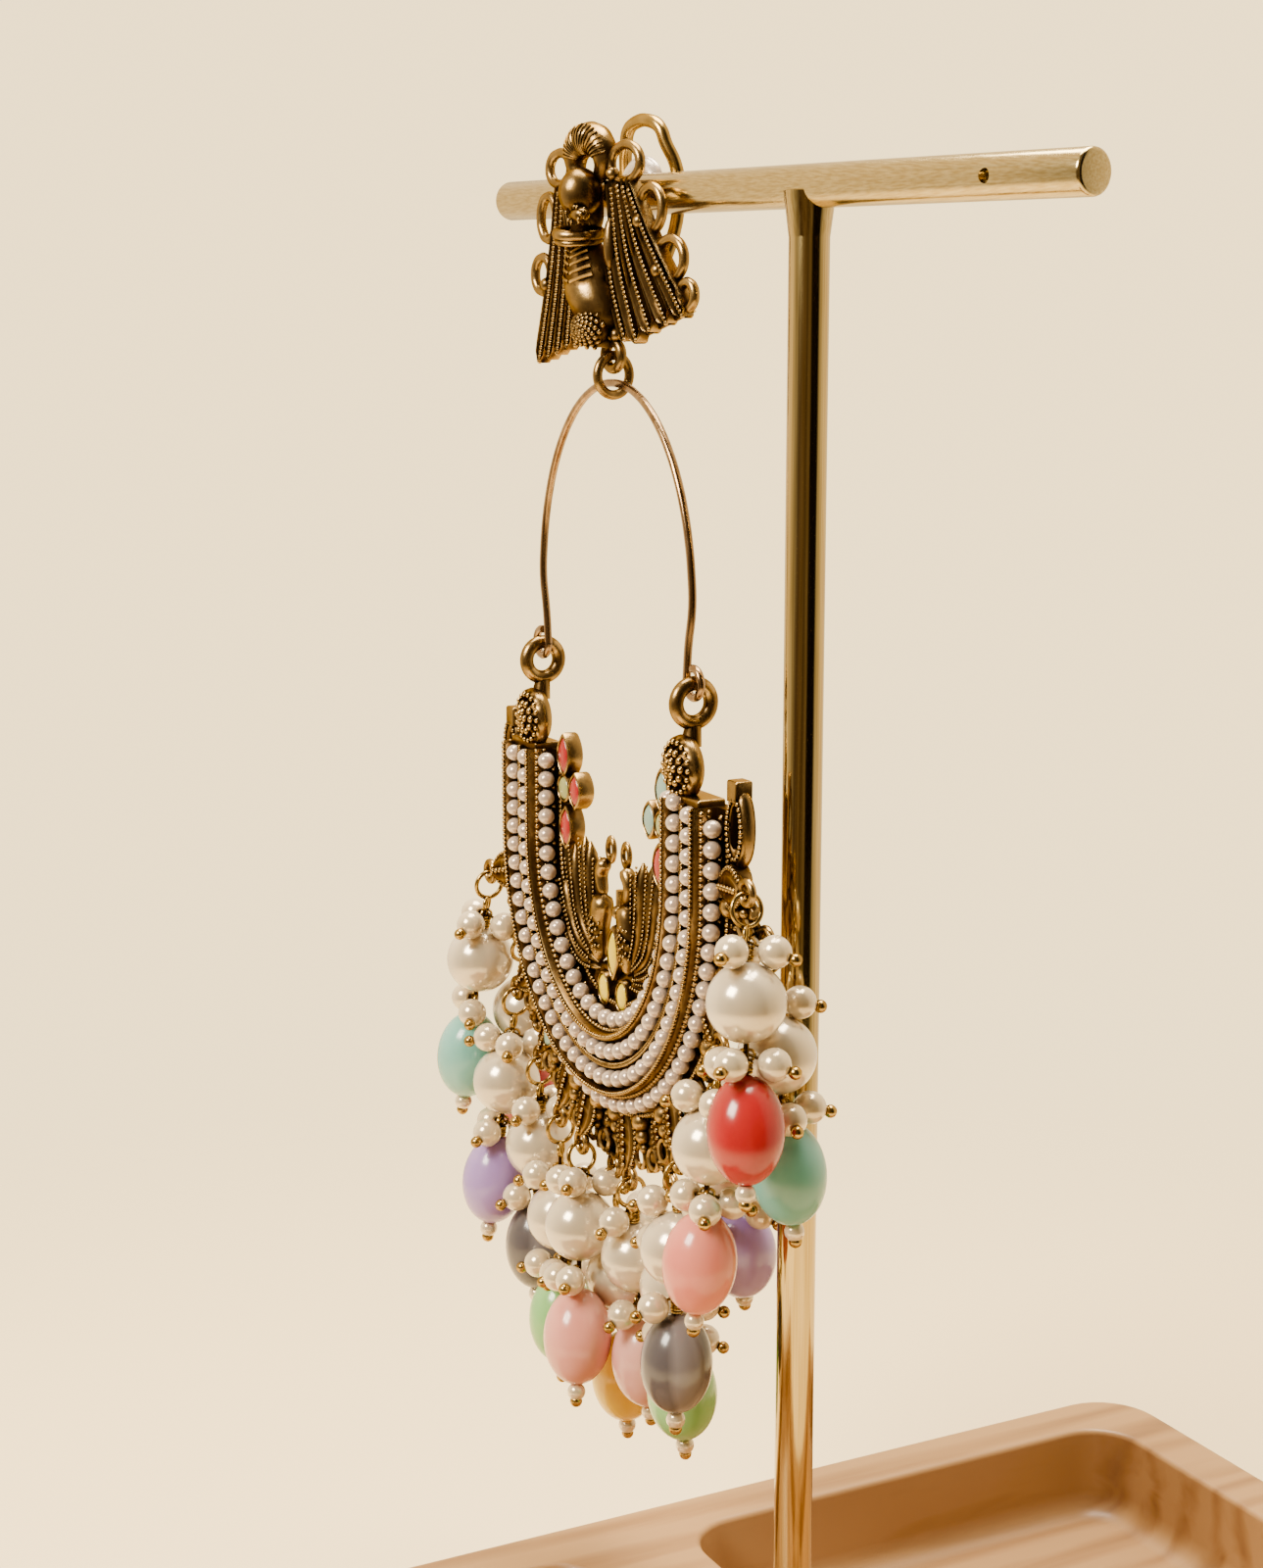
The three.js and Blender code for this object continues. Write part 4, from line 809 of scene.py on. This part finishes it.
section = [(BAND_INNER, 0), (BAND_OUTER, 0), (BAND_OUTER, FLANGE), (RIM_OUT, FLANGE), (RIM_OUT, RIDGE_SIDE),
           (RIM_OUT - 0.12, RIDGE_TOP), (RIM_IN + 0.12, RIDGE_TOP), (RIM_IN, RIDGE_SIDE), (RIM_IN, FLOOR),
           (CORD_OUT, FLOOR), (CORD_OUT, CORD_TOP), (CORD_IN, CORD_TOP), (CORD_IN, FLOOR),
           (WALL_IN + 0.8, FLOOR), (WALL_IN + 0.8, 4.15), (WALL_IN + 0.7, RIDGE_TOP),
           (WALL_IN + 0.1, RIDGE_TOP), (WALL_IN, 4.15), (WALL_IN, FLANGE), (BAND_INNER, FLANGE)]
frame_cast = [loft([list(row) for row in zip(*[band_line(a, o) for a, o in section])])]
for offset, front, size in CORDS:
    frame_cast += milled(size, band_line(offset, front), size * 1.9, 0.2)
for node, (offset, front) in ROWS.items():
    spots = along_line(band_line(offset, front), SEED_PITCH, SEED_RADIUS + 0.2)
    pearls = copies(ball(SEED_RADIUS, (0, 0, 0), 16, 10, (1, 1, 0.96)),
                    [Matrix.Translation(metres(spot)) @ turned_to(way) for spot, way in spots])
    finish_piece(pearls, node.replace("pearl_row", "seed_pearls"), SEED, "crescent", [node])
    print(node, len(spots), "pearls")
    frame_cast += milled(0.3, band_line(offset, front - 1.0), SEED_PITCH, SEED_PITCH / 2 + SEED_RADIUS + 0.2)

# %% [markdown]
# Each leg ends in a domed medallion with a grained boss and an upright ring for the arch. The dome is
# a loft through circles, and the boss is four circles of grains, each standing higher than the last.

# %% Horns
MEDALLION = [(0.2, 0), (0.85, 0), (0.97, 0.15), (1, 0.4), (0.95, 0.66), (0.86, 0.78), (0.76, 0.7),
             (0.66, 0.62), (0.5, 0.86), (0.25, 1.0), (0.05, 1.02)]
BOSS = [(18, 2.55, 0.3, 1.75), (10, 1.5, 0.42, 1.95), (5, 0.7, 0.4, 2.3), (1, 0, 0.42, 2.35)]
for side in (-1, 1):
    x = side * CRESCENT_HALF
    middle = on_band(x, 1.8, BAND_TOP + 3.3)
    frame_cast.append(loft([[middle + Vector((3.25 * wide * math.cos(a), -2.2 * out,
                                              3.25 * wide * math.sin(a)))
                             for a in around(36)] for wide, out in MEDALLION]))
    for count, far, size, out in BOSS:
        frame_cast += grains(size, [middle + Vector((far * math.cos(a), -out, far * math.sin(a)))
                                    for a in around(count)], 8, 6)
    cap = x + side * 1.3
    frame_cast += [
        ring(1.95, 0.75, in_crescent(x, HANG.y, HORN_HEIGHT), (1, 0, 0), 44, 18),
        rod(1.1, in_crescent(x, HANG.y - 0.3, BAND_TOP + 5.4),
            in_crescent(x, HANG.y, HORN_HEIGHT - 2.2), 20, 0.8),
        rounded_block(on_band(cap - 3.1, 3.4, BAND_TOP - 0.1), on_band(cap + 3.1, 0.25, BAND_TOP + 0.7),
                      0.3, 0.3, (BAND_TOP + 0.7,))]
print("grains on each boss", sum(ring_of[0] for ring_of in BOSS))

# %% [markdown]
# Stones sit in cups with a thin raised rim. A cylinder could make a round cup, but most are pointed,
# so cup and stone are both lofted through one outline at several sizes: pointed for the marquise
# ones, oval for the others. The cups belong to the casting, and each enamel colour is its own piece.

# %% Stones
STONE_HALF, STONE_SIDES, CUP_RISE = 1.5, 28, 1.8
# each row of a cup or a gem is its size, its share of the cup's rise and what comes on top
CUP = [(0.2, 0, 0), (0.9, 0, 0), (0.98, 0, 0.3), (1, 0.8, 0), (0.97, 1, 0), (0.86, 1, 0.1), (0.8, 1, 0),
       (0.78, 1, -0.35), (0.2, 1, -0.4)]
GEM = [(0.2, 1, -0.6), (0.8, 1, -0.5), (0.77, 1, -0.08), (0.62, 1, 0.1), (0.35, 1, 0.2), (0.08, 1, 0.24)]
SIDE_STONES = [(0.66, 0.46, (1, 1.67), True, "red", "pale_blue"),
               (0.655, 0.28, (1, 1.07), False, "pale_green", "pale_green"),
               (0.5, 0.286, (0.97, 1.4), True, "red", "pale_blue"),
               (0.63, 0.07, (1, 1.67), True, "red", "red")]
EAR_X, EAR_Z, EAR_HALF, EAR_TALL = 1.493 * CRESCENT_HALF, TURN_HEIGHT + 0.39 * BAND_FALL, 1.35, 3.0
enamel = {}


def stone_outline(half_width, half_height, pointed):
    points = []
    for across, up in oval(STONE_SIDES):
        if pointed:
            across = math.copysign((1 - up * up) ** 0.85, across)
        points.append((half_width * across, half_height * up))
    return points


def stone_in_cup(share, up, half, pointed, lean, colour, seat=0.2):
    middle = on_band(share * CRESCENT_HALF, seat, TURN_HEIGHT + up * BAND_FALL)
    outline = stone_outline(half[0] * STONE_HALF, half[1] * STONE_HALF, pointed)
    c, s = math.cos(lean), math.sin(lean)

    def built(rows):
        return loft([[middle + Vector(((a * c - b * s) * size, -(CUP_RISE * part + more),
                                       (a * s + b * c) * size)) for a, b in outline]
                     for size, part, more in rows])
    frame_cast.append(built(CUP))
    enamel.setdefault(colour, []).append(built(GEM))


for across, up, half, pointed, left, right in SIDE_STONES:
    stone_in_cup(-across, up, half, pointed, 0, left)
    stone_in_cup(across, up, half, pointed, 0, right)
stone_in_cup(0, -0.507, (0.87, 2.07), True, 0, "yellow", 0)
for side in (-1, 1):
    stone_in_cup(side * 0.122, -0.72, (0.93, 1.27), False, -side * 0.15, "yellow", 0)
    stone_in_cup(side * 1.487, 0.133, (0.93, 1.27), True, 0, "violet")
    stone_in_cup(side * 0.898, -1.148, (0.87, 1.4), True, 0.6 * side, "pale_blue")
    edge = [on_band(side * EAR_X + EAR_HALF * math.cos(a), 1.75, EAR_Z + EAR_TALL * math.sin(a))
            for a in [*around(30), math.tau]]
    frame_cast += [
        ring(1, 0.34, on_band(side * EAR_X, 0.9, EAR_Z), (0, 1, 0), 44, 12, (EAR_HALF, EAR_TALL, 2.4)),
        *milled(0.26, edge, 0.55),
        rounded_block(on_band(side * 25.3 - 1.0, 1.9, 110.1), on_band(side * 25.3 + 1.0, 0, 112.2),
                      0.25, 0.25, (112.2,)),
        rod(0.9, on_band(side * 24.1, 0.7, 99.8), on_band(side * 25.2, 0.7, 111), 14)]
for colour, gems in enamel.items():
    finish_piece(gems, "stones_" + colour, ENAMEL[colour], "crescent", (), 60)
    print(colour, "stones", len(gems))

# %% [markdown]
# Two small peacocks face each other inside the U. Each is a fan of slim round-ended feathers, a scaled
# body with a bent neck, and a looped crest. The engraving of the real ones is finer than a grain, so
# grains and fine ribs stand for it.

# %% Small peacocks
FRONT = Vector((0, -1, 0))
TAIL = [((3.2, 88), (4.2, 92.6), (4.4, 98.8), 0.75), ((3.6, 88), (5.4, 92.4), (6.1, 100.2), 0.78),
        ((4.0, 88), (6.8, 92), (7.9, 100.4), 0.78), ((4.2, 87.8), (8.0, 91.4), (9.8, 99.2), 0.75),
        ((4.4, 87.5), (8.8, 90.4), (11.2, 97.4), 0.75), ((4.2, 87.2), (9.0, 89.2), (12.2, 95.2), 0.75),
        ((4.0, 86.9), (8.6, 88.0), (12.6, 92.8), 0.7), ((3.6, 86.7), (7.8, 86.9), (11.6, 90.0), 0.6)]
BODY_GRAINS, LOBE_STEPS = 46, 12


def lobe(points, half, relief):
    """A slim feather with round ends, wider towards its tip."""
    line = smooth_path(points, LOBE_STEPS)
    stations = []
    for i, spot in enumerate(line):
        share = i / LOBE_STEPS
        size = math.sqrt(max(0.02, 1 - (2 * share - 1) ** 6)) * (0.75 + 0.4 * share)
        way = (line[min(i + 1, LOBE_STEPS)] - line[max(i - 1, 0)]).normalized()
        stations.append((spot, way.cross(FRONT).normalized() * half * size, FRONT * relief * size))
    return swept(oval(10), stations)


def path_on_band(pairs, front, side=1):
    return [on_band(side * x, front, z) for x, z in pairs]


for side in (-1, 1):
    for i, (low, bend, high, half) in enumerate(TAIL):
        points = path_on_band((low, bend, high), 1.0 + 0.25 * (i % 2), side)
        frame_cast.append(lobe(points, half, 0.8))
        rib = [spot + FRONT * 0.85 for spot in smooth_path(points, LOBE_STEPS)]
        frame_cast += milled(0.17, rib, 0.5, 1.2)
    frame_cast += [lobe(path_on_band(((3.3, 87.4), (3.5, 91.5), (2.5, 95.2)), 1.5, side), 1.35, 1.2),
                   lobe(path_on_band(((2.6, 94.8), (3.3, 97.2), (2.2, 98.9)), 1.4, side), 0.8, 0.8),
                   ring(0.75, 0.3, on_band(side * 1.75, 1.0, 100.1), (0, 1, 0), 26, 10, (1, 1.5, 1))]
    spots = []
    for i in range(BODY_GRAINS):
        a, r = i * SUNFLOWER_TURN, math.sqrt((i + 0.5) / BODY_GRAINS)
        lift = 1.5 + 1.25 * math.sqrt(max(0.1, 1 - r * r))
        spots.append(on_band(side * (3.3 + 1.2 * r * math.cos(a)), lift, 91.3 + 3.4 * r * math.sin(a)))
    frame_cast += grains(0.2, spots)
branch = path_on_band(((-6, 85.0), (-3, 87.0), (0, 86.2), (3, 87.0), (6, 85.0)), 0.6)
frame_cast += [ball(0.8, on_band(0, 1.0, 93.6), 16, 10),
               rod(0.5, on_band(0, 0.8, 92), on_band(0, 0.8, 96), 12), wire(branch, 0.7, sides=12)]
for side in (-1, 1):
    stem = path_on_band(((3.2, 87.4), (4.4, 84.6), (3.4, 82.4), (4.4, 81.0)), 0.6, side)
    frame_cast.append(wire(stem, 0.45, sides=10))
print("feathers in each small tail", len(TAIL))

# %% [markdown]
# The drops hang from cast loops below the crescent. The places of their loops, pearls and beads could
# be typed once more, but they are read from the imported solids, so that nothing drifts from them.

# %% Drops: places
COLOURS = ["red", "teal", "pink", "lavender", "grey", "green", "pale_pink", "yellow", "light_pink", "green",
           "grey", "lavender", "red", "teal"]
JUMP_RADIUS, JUMP_WIRE, BEAD_TO_BALL = 1.6, 0.25, 7.0


def middle_of(node):
    low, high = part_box(node)
    return (Vector(low) + Vector(high)) / 2 / MM


drops = []
for number, colour in enumerate(COLOURS, 1):
    name = "drop_%02d" % number
    pearl, bead = middle_of(name + "_pearl"), middle_of(name + "_bead")
    up = (pearl - bead).normalized()
    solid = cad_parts[name + "_pin"]
    reach = max((solid.matrix_world @ v.co / MM - bead).dot(up) for v in solid.data.vertices)
    drops.append({"name": name, "colour": colour, "pearl": pearl, "bead": bead, "up": up,
                  "loop": bead + up * (reach - JUMP_WIRE)})
print("hangs", [round((d["loop"] - d["bead"]).length, 1) for d in drops])

# %% [markdown]
# The border is part of the casting: a leaf with milled edges carries each loop, and a petal with two
# curls and three berries fills each gap. Both are ovals swept from the band outwards.

# %% Leafy border
BORDER_HALF, BORDER_FALL, BORDER_ROOT = 28.9, 35.5, BAND_OUTER - 0.6
LEAF_STEPS, PETAL_STEPS = 12, 10
BERRIES = [(BAND_OUTER + 0.4, 1.25), (BAND_OUTER + 2.0, 0.95), (BAND_OUTER + 3.3, 0.6)]


def from_band(spot):
    """The point of the band's middle line that a border point grows from, and the way to it."""
    a = math.atan2((spot.x - HANG.x) / BORDER_HALF, (TURN_HEIGHT - spot.z) / BORDER_FALL)
    root = on_band(CRESCENT_HALF * math.sin(a), 0.75, TURN_HEIGHT - BAND_FALL * math.cos(a))
    way = (spot - root).normalized()
    return root, way, way.cross(FRONT).normalized()


for drop in drops:
    root, way, side_way = from_band(drop["loop"])
    start, end = root + way * BORDER_ROOT, drop["loop"] - way * 1.0
    line = [start.lerp(end, i / LEAF_STEPS) for i in range(LEAF_STEPS + 1)]
    leaf = [(spot, side_way * (0.45 + 1.6 * math.sin(math.pi * min(1, (i + 0.8) / 12.5)) ** 0.8),
             FRONT * 0.75) for i, spot in enumerate(line)]
    frame_cast.append(swept(oval(10), leaf))
    for side in (-1, 1):
        edge = [spot + across * side * 0.95 + FRONT * 0.25 for spot, across, _ in leaf]
        frame_cast += milled(0.27, edge, 0.55, 0.3)
    frame_cast += milled(0.34, [spot + FRONT * 0.72 for spot in line], 0.8, 0.5)
    frame_cast.append(ring(1.1, 0.4, drop["loop"], (0, 1, 0), 28, 10))
ordered = sorted(drops, key=lambda d: -d["loop"].x)
for first, second in zip(ordered, ordered[1:]):
    middle = (first["loop"] + second["loop"]) / 2
    root, way, side_way = from_band(middle)
    reach = (middle - root).length * 0.94
    petal = [(root + way * (BORDER_ROOT + (reach - BORDER_ROOT) * i / PETAL_STEPS) - FRONT * 0.35,
              side_way * (0.5 + 1.5 * math.sin(math.pi * min(1, (i + 1.2) / 11)) ** 0.7), FRONT * 0.6)
             for i in range(PETAL_STEPS + 1)]
    frame_cast.append(swept(oval(10), petal))
    for side in (-1, 1):
        curl = [root + way * (reach - 1.6 + 1.15 * math.cos(a)) + side_way * side * (1.5 + 1.05 * math.sin(a))
                + FRONT * 0.1 for a in around(9)]
        frame_cast.append(wire(curl, 0.34, closed=True, sides=8, steps=3))
    frame_cast += [ball(size, root + way * far + FRONT * 0.3, 14, 8) for far, size in BERRIES]
print("casting parts", len(frame_cast))
finish_piece(frame_cast, "crescent_casting", ANTIQUE, "crescent", ["crescent_frame"], 50)

# %% [markdown]
# A pearl or bead is drilled from end to end: the points at both poles are taken off, and the two open
# edges are bridged, which gives the wall of the hole. A boolean would do it as well, but leaves long
# thin faces round the hole. Each kind is modelled once and copied for every drop.

# %% Drilled beads
def drilled(radius, half_height, across, up):
    made = ball(radius, (0, 0, 0), across, up, (1, 1, half_height / radius))
    made.data.update()
    bpy.ops.object.mode_set(mode="EDIT")
    bpy.ops.mesh.select_mode(type="VERT")
    bpy.ops.mesh.select_all(action="DESELECT")
    shape = bmesh.from_edit_mesh(made.data)
    for v in shape.verts:
        v.select_set(math.hypot(v.co.x, v.co.y) < 1e-7)
    bmesh.update_edit_mesh(made.data)
    bpy.ops.mesh.delete(type="VERT")
    bpy.ops.mesh.select_all(action="DESELECT")
    bpy.ops.mesh.select_mode(type="EDGE")
    shape = bmesh.from_edit_mesh(made.data)
    for line in shape.edges:
        line.select_set(line.is_boundary)
    bmesh.update_edit_mesh(made.data)
    bpy.ops.mesh.bridge_edge_loops()
    bpy.ops.object.mode_set(mode="OBJECT")
    return closed_outwards(made)


def upright(drop, at):
    return Matrix.Translation(metres(at)) @ turned_to(drop["up"])


PEARL_RADIUS, BEAD_HALF, BEAD_TALL = 3.9, 3.75, 5.25
large = copies(drilled(PEARL_RADIUS, PEARL_RADIUS, 48, 32), [upright(d, d["pearl"]) for d in drops])
ovals = copies(drilled(BEAD_HALF, BEAD_TALL, 48, 32), [upright(d, d["bead"]) for d in drops])
for drop, pearl, bead in zip(drops, large, ovals):
    name, colour = drop["name"], drop["colour"]
    finish_piece([pearl], name + "_large_pearl", PEARL, "crescent", [name + "_pearl"], 180)
    finish_piece([bead], name + "_oval_bead", BEADS[colour], "crescent", [name + "_bead"],
                 180)

# %% [markdown]
# Small pearls on ball-head pins sit round the wire above each large pearl and above each bead. They
# could be dropped into place by a physics run, but that is slow and hard to repeat, so the freest
# directions round each wire are looked for, and a pearl goes there only if it hardly meets another.

# %% Small pearls
SMALL, TINY, PIN_BALL, PIN_REACH = 1.65, 1.0, 0.66, 2.2
WAYS, APART, OVERLAP = 24, 6, 0.25
taken_up = [(d["pearl"], 4.0) for d in drops] + [(d["bead"] + d["up"] * s, BEAD_HALF)
                                                 for d in drops for s in (-1.5, 1.5)]


def room(spot, radius):
    """How far a ball lies from its nearest neighbour or from the post."""
    gaps = [(spot - centre).length - size - radius for centre, size in taken_up]
    return min(*gaps, math.hypot(spot.x, spot.y) - POST_RADIUS - radius)


def cluster(centre, up, count):
    """Places round the wire for small pearls that hang outwards and down from the centre."""
    first = up.orthogonal().normalized()
    second = up.cross(first)
    options = []
    for i, a in enumerate(around(WAYS)):
        way = ((first * math.cos(a) + second * math.sin(a)) * 0.94 - up * 0.34).normalized()
        spot = centre + up * 0.9 + way * 2.95
        options.append((min(room(spot, SMALL), room(spot + way * PIN_REACH, PIN_BALL)), i, spot, way))
    chosen = []
    for option in sorted(options, key=lambda o: -o[0]):
        if len(chosen) == count or option[0] < -OVERLAP:
            break
        if all(APART <= abs(option[1] - c[1]) <= WAYS - APART for c in chosen):
            chosen.append(option)
    taken_up.extend((spot, SMALL - 0.1) for _, _, spot, _ in chosen)
    return [(spot, way) for _, _, spot, way in chosen]


for drop in drops:
    drop["small"] = (cluster(drop["pearl"] + drop["up"] * 4.9, drop["up"], 3)
                     + cluster(drop["bead"] + drop["up"] * 6.3, drop["up"], 4))
print("small pearls", sum(len(d["small"]) for d in drops))
small = copies(drilled(SMALL, SMALL, 20, 14), [Matrix.Translation(metres(spot)) @ turned_to(way)
                                               for d in drops for spot, way in d["small"]])
tiny = copies(drilled(TINY, TINY, 16, 12),
              [upright(d, d["bead"] - d["up"] * (BEAD_TO_BALL - TINY)) for d in drops])
for drop, last in zip(drops, tiny):
    own, small = small[:len(drop["small"])], small[len(drop["small"]):]
    finish_piece(own + [last], drop["name"] + "_small_pearls", SMALL_PEARL, "crescent", (), 180)

# %% [markdown]
# The wirework of a drop is a jump ring, the long pin with an eye above and a ball below, a coil of
# wrapped wire above the pearl and above the bead, and the little pins that carry the small pearls. A
# helix could make the coil, but rings stacked at its pitch look the same at this size.

# %% Wirework
for drop in drops:
    up, loop, bead, pearl = drop["up"], drop["loop"], drop["bead"], drop["pearl"]
    along = turned_to(-up, (0, 0, -1)).to_3x3() @ Vector((1, 0, 0))
    pin_top, pin_end = loop - up * (2 * JUMP_RADIUS), bead - up * BEAD_TO_BALL
    parts = [ring(JUMP_RADIUS, JUMP_WIRE, loop - up * JUMP_RADIUS, along, 36, 10),
             rod(0.28, pin_top, pin_end, 12), ball(0.68, pin_end, 16, 10),
             ring(0.75, 0.24, pin_top - up * 0.75, up.orthogonal(), 24, 8)]
    for base, turns in ((pearl + up * 4.0, 5), (bead + up * 5.35, 4)):
        parts += [ring(0.5 + 0.05 * (turn % 2), 0.17, base + up * (0.3 * turn + 0.1), up, 16, 6)
                  for turn in range(turns)]
    for spot, way in drop["small"]:
        parts += [rod(0.16, spot - way * 2.7, spot + way * PIN_REACH, 8),
                  ball(PIN_BALL, spot + way * (PIN_REACH - 0.05), 14, 8),
                  ring(0.5, 0.16, spot - way * 2.6, way.cross(up).normalized(), 18, 6)]
    finish_piece(parts, drop["name"] + "_wirework", FINDING, "crescent", [drop["name"] + "_pin"],
                 60)
print("faces of the last drop's wirework", len(parts[0].data.polygons))

# %% [markdown]
# The stage is a pale floor that fades into plain cream surroundings, with a soft key light in front
# and another light above. Polished brass shows what stands round it in a studio, so the light of the
# surroundings has a few soft dark bands by direction, which only the metal and pearls pick up.

# %% Stage, light and camera
VIEW_DIRECTION, VIEW_RIGHT = Vector((-0.8862, 0.4633, 0)), (0.4633, 0.8862, 0)
CAMERA_AT, CAMERA_LENS, CAMERA_PITCH = (207.66, -127.29, 158.2), 58.5, math.radians(10.9)
FLOOR_SIZE, FLOOR_CLEAR, FLOOR_END = 0.8, 0.13, 0.3
CREAM, WORLD_STRENGTH = (5.6, 4.2, 2.1, 1), 0.55
BRIGHT, DIM, DARK = (3.4, 2.5, 1.4), (1.4, 1.1, 0.72), (0.02, 0.012, 0.005)
BANDS = [(0.0, BRIGHT), (0.2, BRIGHT), (0.27, DIM), (0.36, (0.20, 0.11, 0.045)),
         (0.43, (0.42, 0.25, 0.10)), (0.48, (0.22, 0.13, 0.05)), (0.52, (0.55, 0.36, 0.17)),
         (0.545, DARK), (0.65, DARK), (0.68, DIM), (0.8, BRIGHT), (1.0, BRIGHT)]
bpy.ops.object.select_all(action="DESELECT")
bpy.ops.mesh.primitive_plane_add(size=FLOOR_SIZE, location=(0, 0, 0))
floor = bpy.context.object
floor.name = "floor"
bpy.ops.object.transform_apply(location=True, rotation=True, scale=True)
paper, shader, add, connect = new_finish("floor_paper", Roughness=0.9)
place = add("ShaderNodeTexCoord")
spread = add("ShaderNodeTexNoise", in_Scale=3)
tint = colour_ramp(add, [(0.3, (0.85, 0.69, 0.42)), (0.7, (0.88, 0.73, 0.46))])
far = add("ShaderNodeVectorMath", operation="LENGTH")
fade = add("ShaderNodeMapRange", interpolation_type="SMOOTHSTEP", in_1=FLOOR_CLEAR, in_2=FLOOR_END,
           in_3=1, in_4=0)
connect((place, "Object", spread, "Vector"), (spread, 0, tint, 0), (tint, 0, shader, "Base Color"),
        (place, "Object", far, 0), (far, "Value", fade, 0), (fade, 0, shader, "Alpha"))
floor.data.materials.append(paper)

world = bpy.data.worlds.new("warm_studio")
bpy.context.scene.world = world
world.use_nodes = True
add, connect = tools_for(world.node_tree)
back = world.node_tree.nodes["Background"]
direction = add("ShaderNodeTexCoord")
rightwards = add("ShaderNodeVectorMath", operation="DOT_PRODUCT", in_1=VIEW_RIGHT)
backwards = add("ShaderNodeVectorMath", operation="DOT_PRODUCT", in_1=tuple(-VIEW_DIRECTION))
angle = add("ShaderNodeMath", operation="ARCTAN2")
share = add("ShaderNodeMapRange", in_1=-math.pi, in_2=math.pi)
bands = colour_ramp(add, BANDS)
ray = add("ShaderNodeLightPath")
seen = add("ShaderNodeMix", data_type="RGBA", in_7=CREAM)
connect((direction, "Generated", rightwards, 0), (direction, "Generated", backwards, 0),
        (rightwards, "Value", angle, 0), (backwards, "Value", angle, 1), (angle, 0, share, 0),
        (share, 0, bands, 0), (ray, "Is Camera Ray", seen, 0), (bands, 0, seen, 6), (seen, 2, back, 0))
back.inputs[1].default_value = WORLD_STRENGTH


def soft_light(name, at, target, size, power, colour):
    bpy.ops.object.light_add(type="AREA", location=metres(at))
    lamp = bpy.context.object
    lamp.name = name
    lamp.data.size, lamp.data.energy, lamp.data.color = size, power, colour
    lamp.rotation_mode = "QUATERNION"
    lamp.rotation_quaternion = (metres(target) - metres(at)).to_track_quat("-Z", "Y")


soft_light("key", (40, -430, 420), (-20, -5, 90), 0.2, 7, (1.0, 0.88, 0.70))
soft_light("top_light", (-90, 60, 560), (-40, 10, 60), 0.3, 8, (1.0, 0.88, 0.70))

bpy.ops.object.camera_add(location=metres(CAMERA_AT))
camera = bpy.context.object
camera.data.lens, camera.data.sensor_width = CAMERA_LENS, 36
camera.data.clip_start = 0.005
aim = VIEW_DIRECTION * math.cos(CAMERA_PITCH) - Vector((0, 0, math.sin(CAMERA_PITCH)))
camera.rotation_mode = "QUATERNION"
camera.rotation_quaternion = aim.to_track_quat("-Z", "Y")
bpy.context.scene.camera = camera
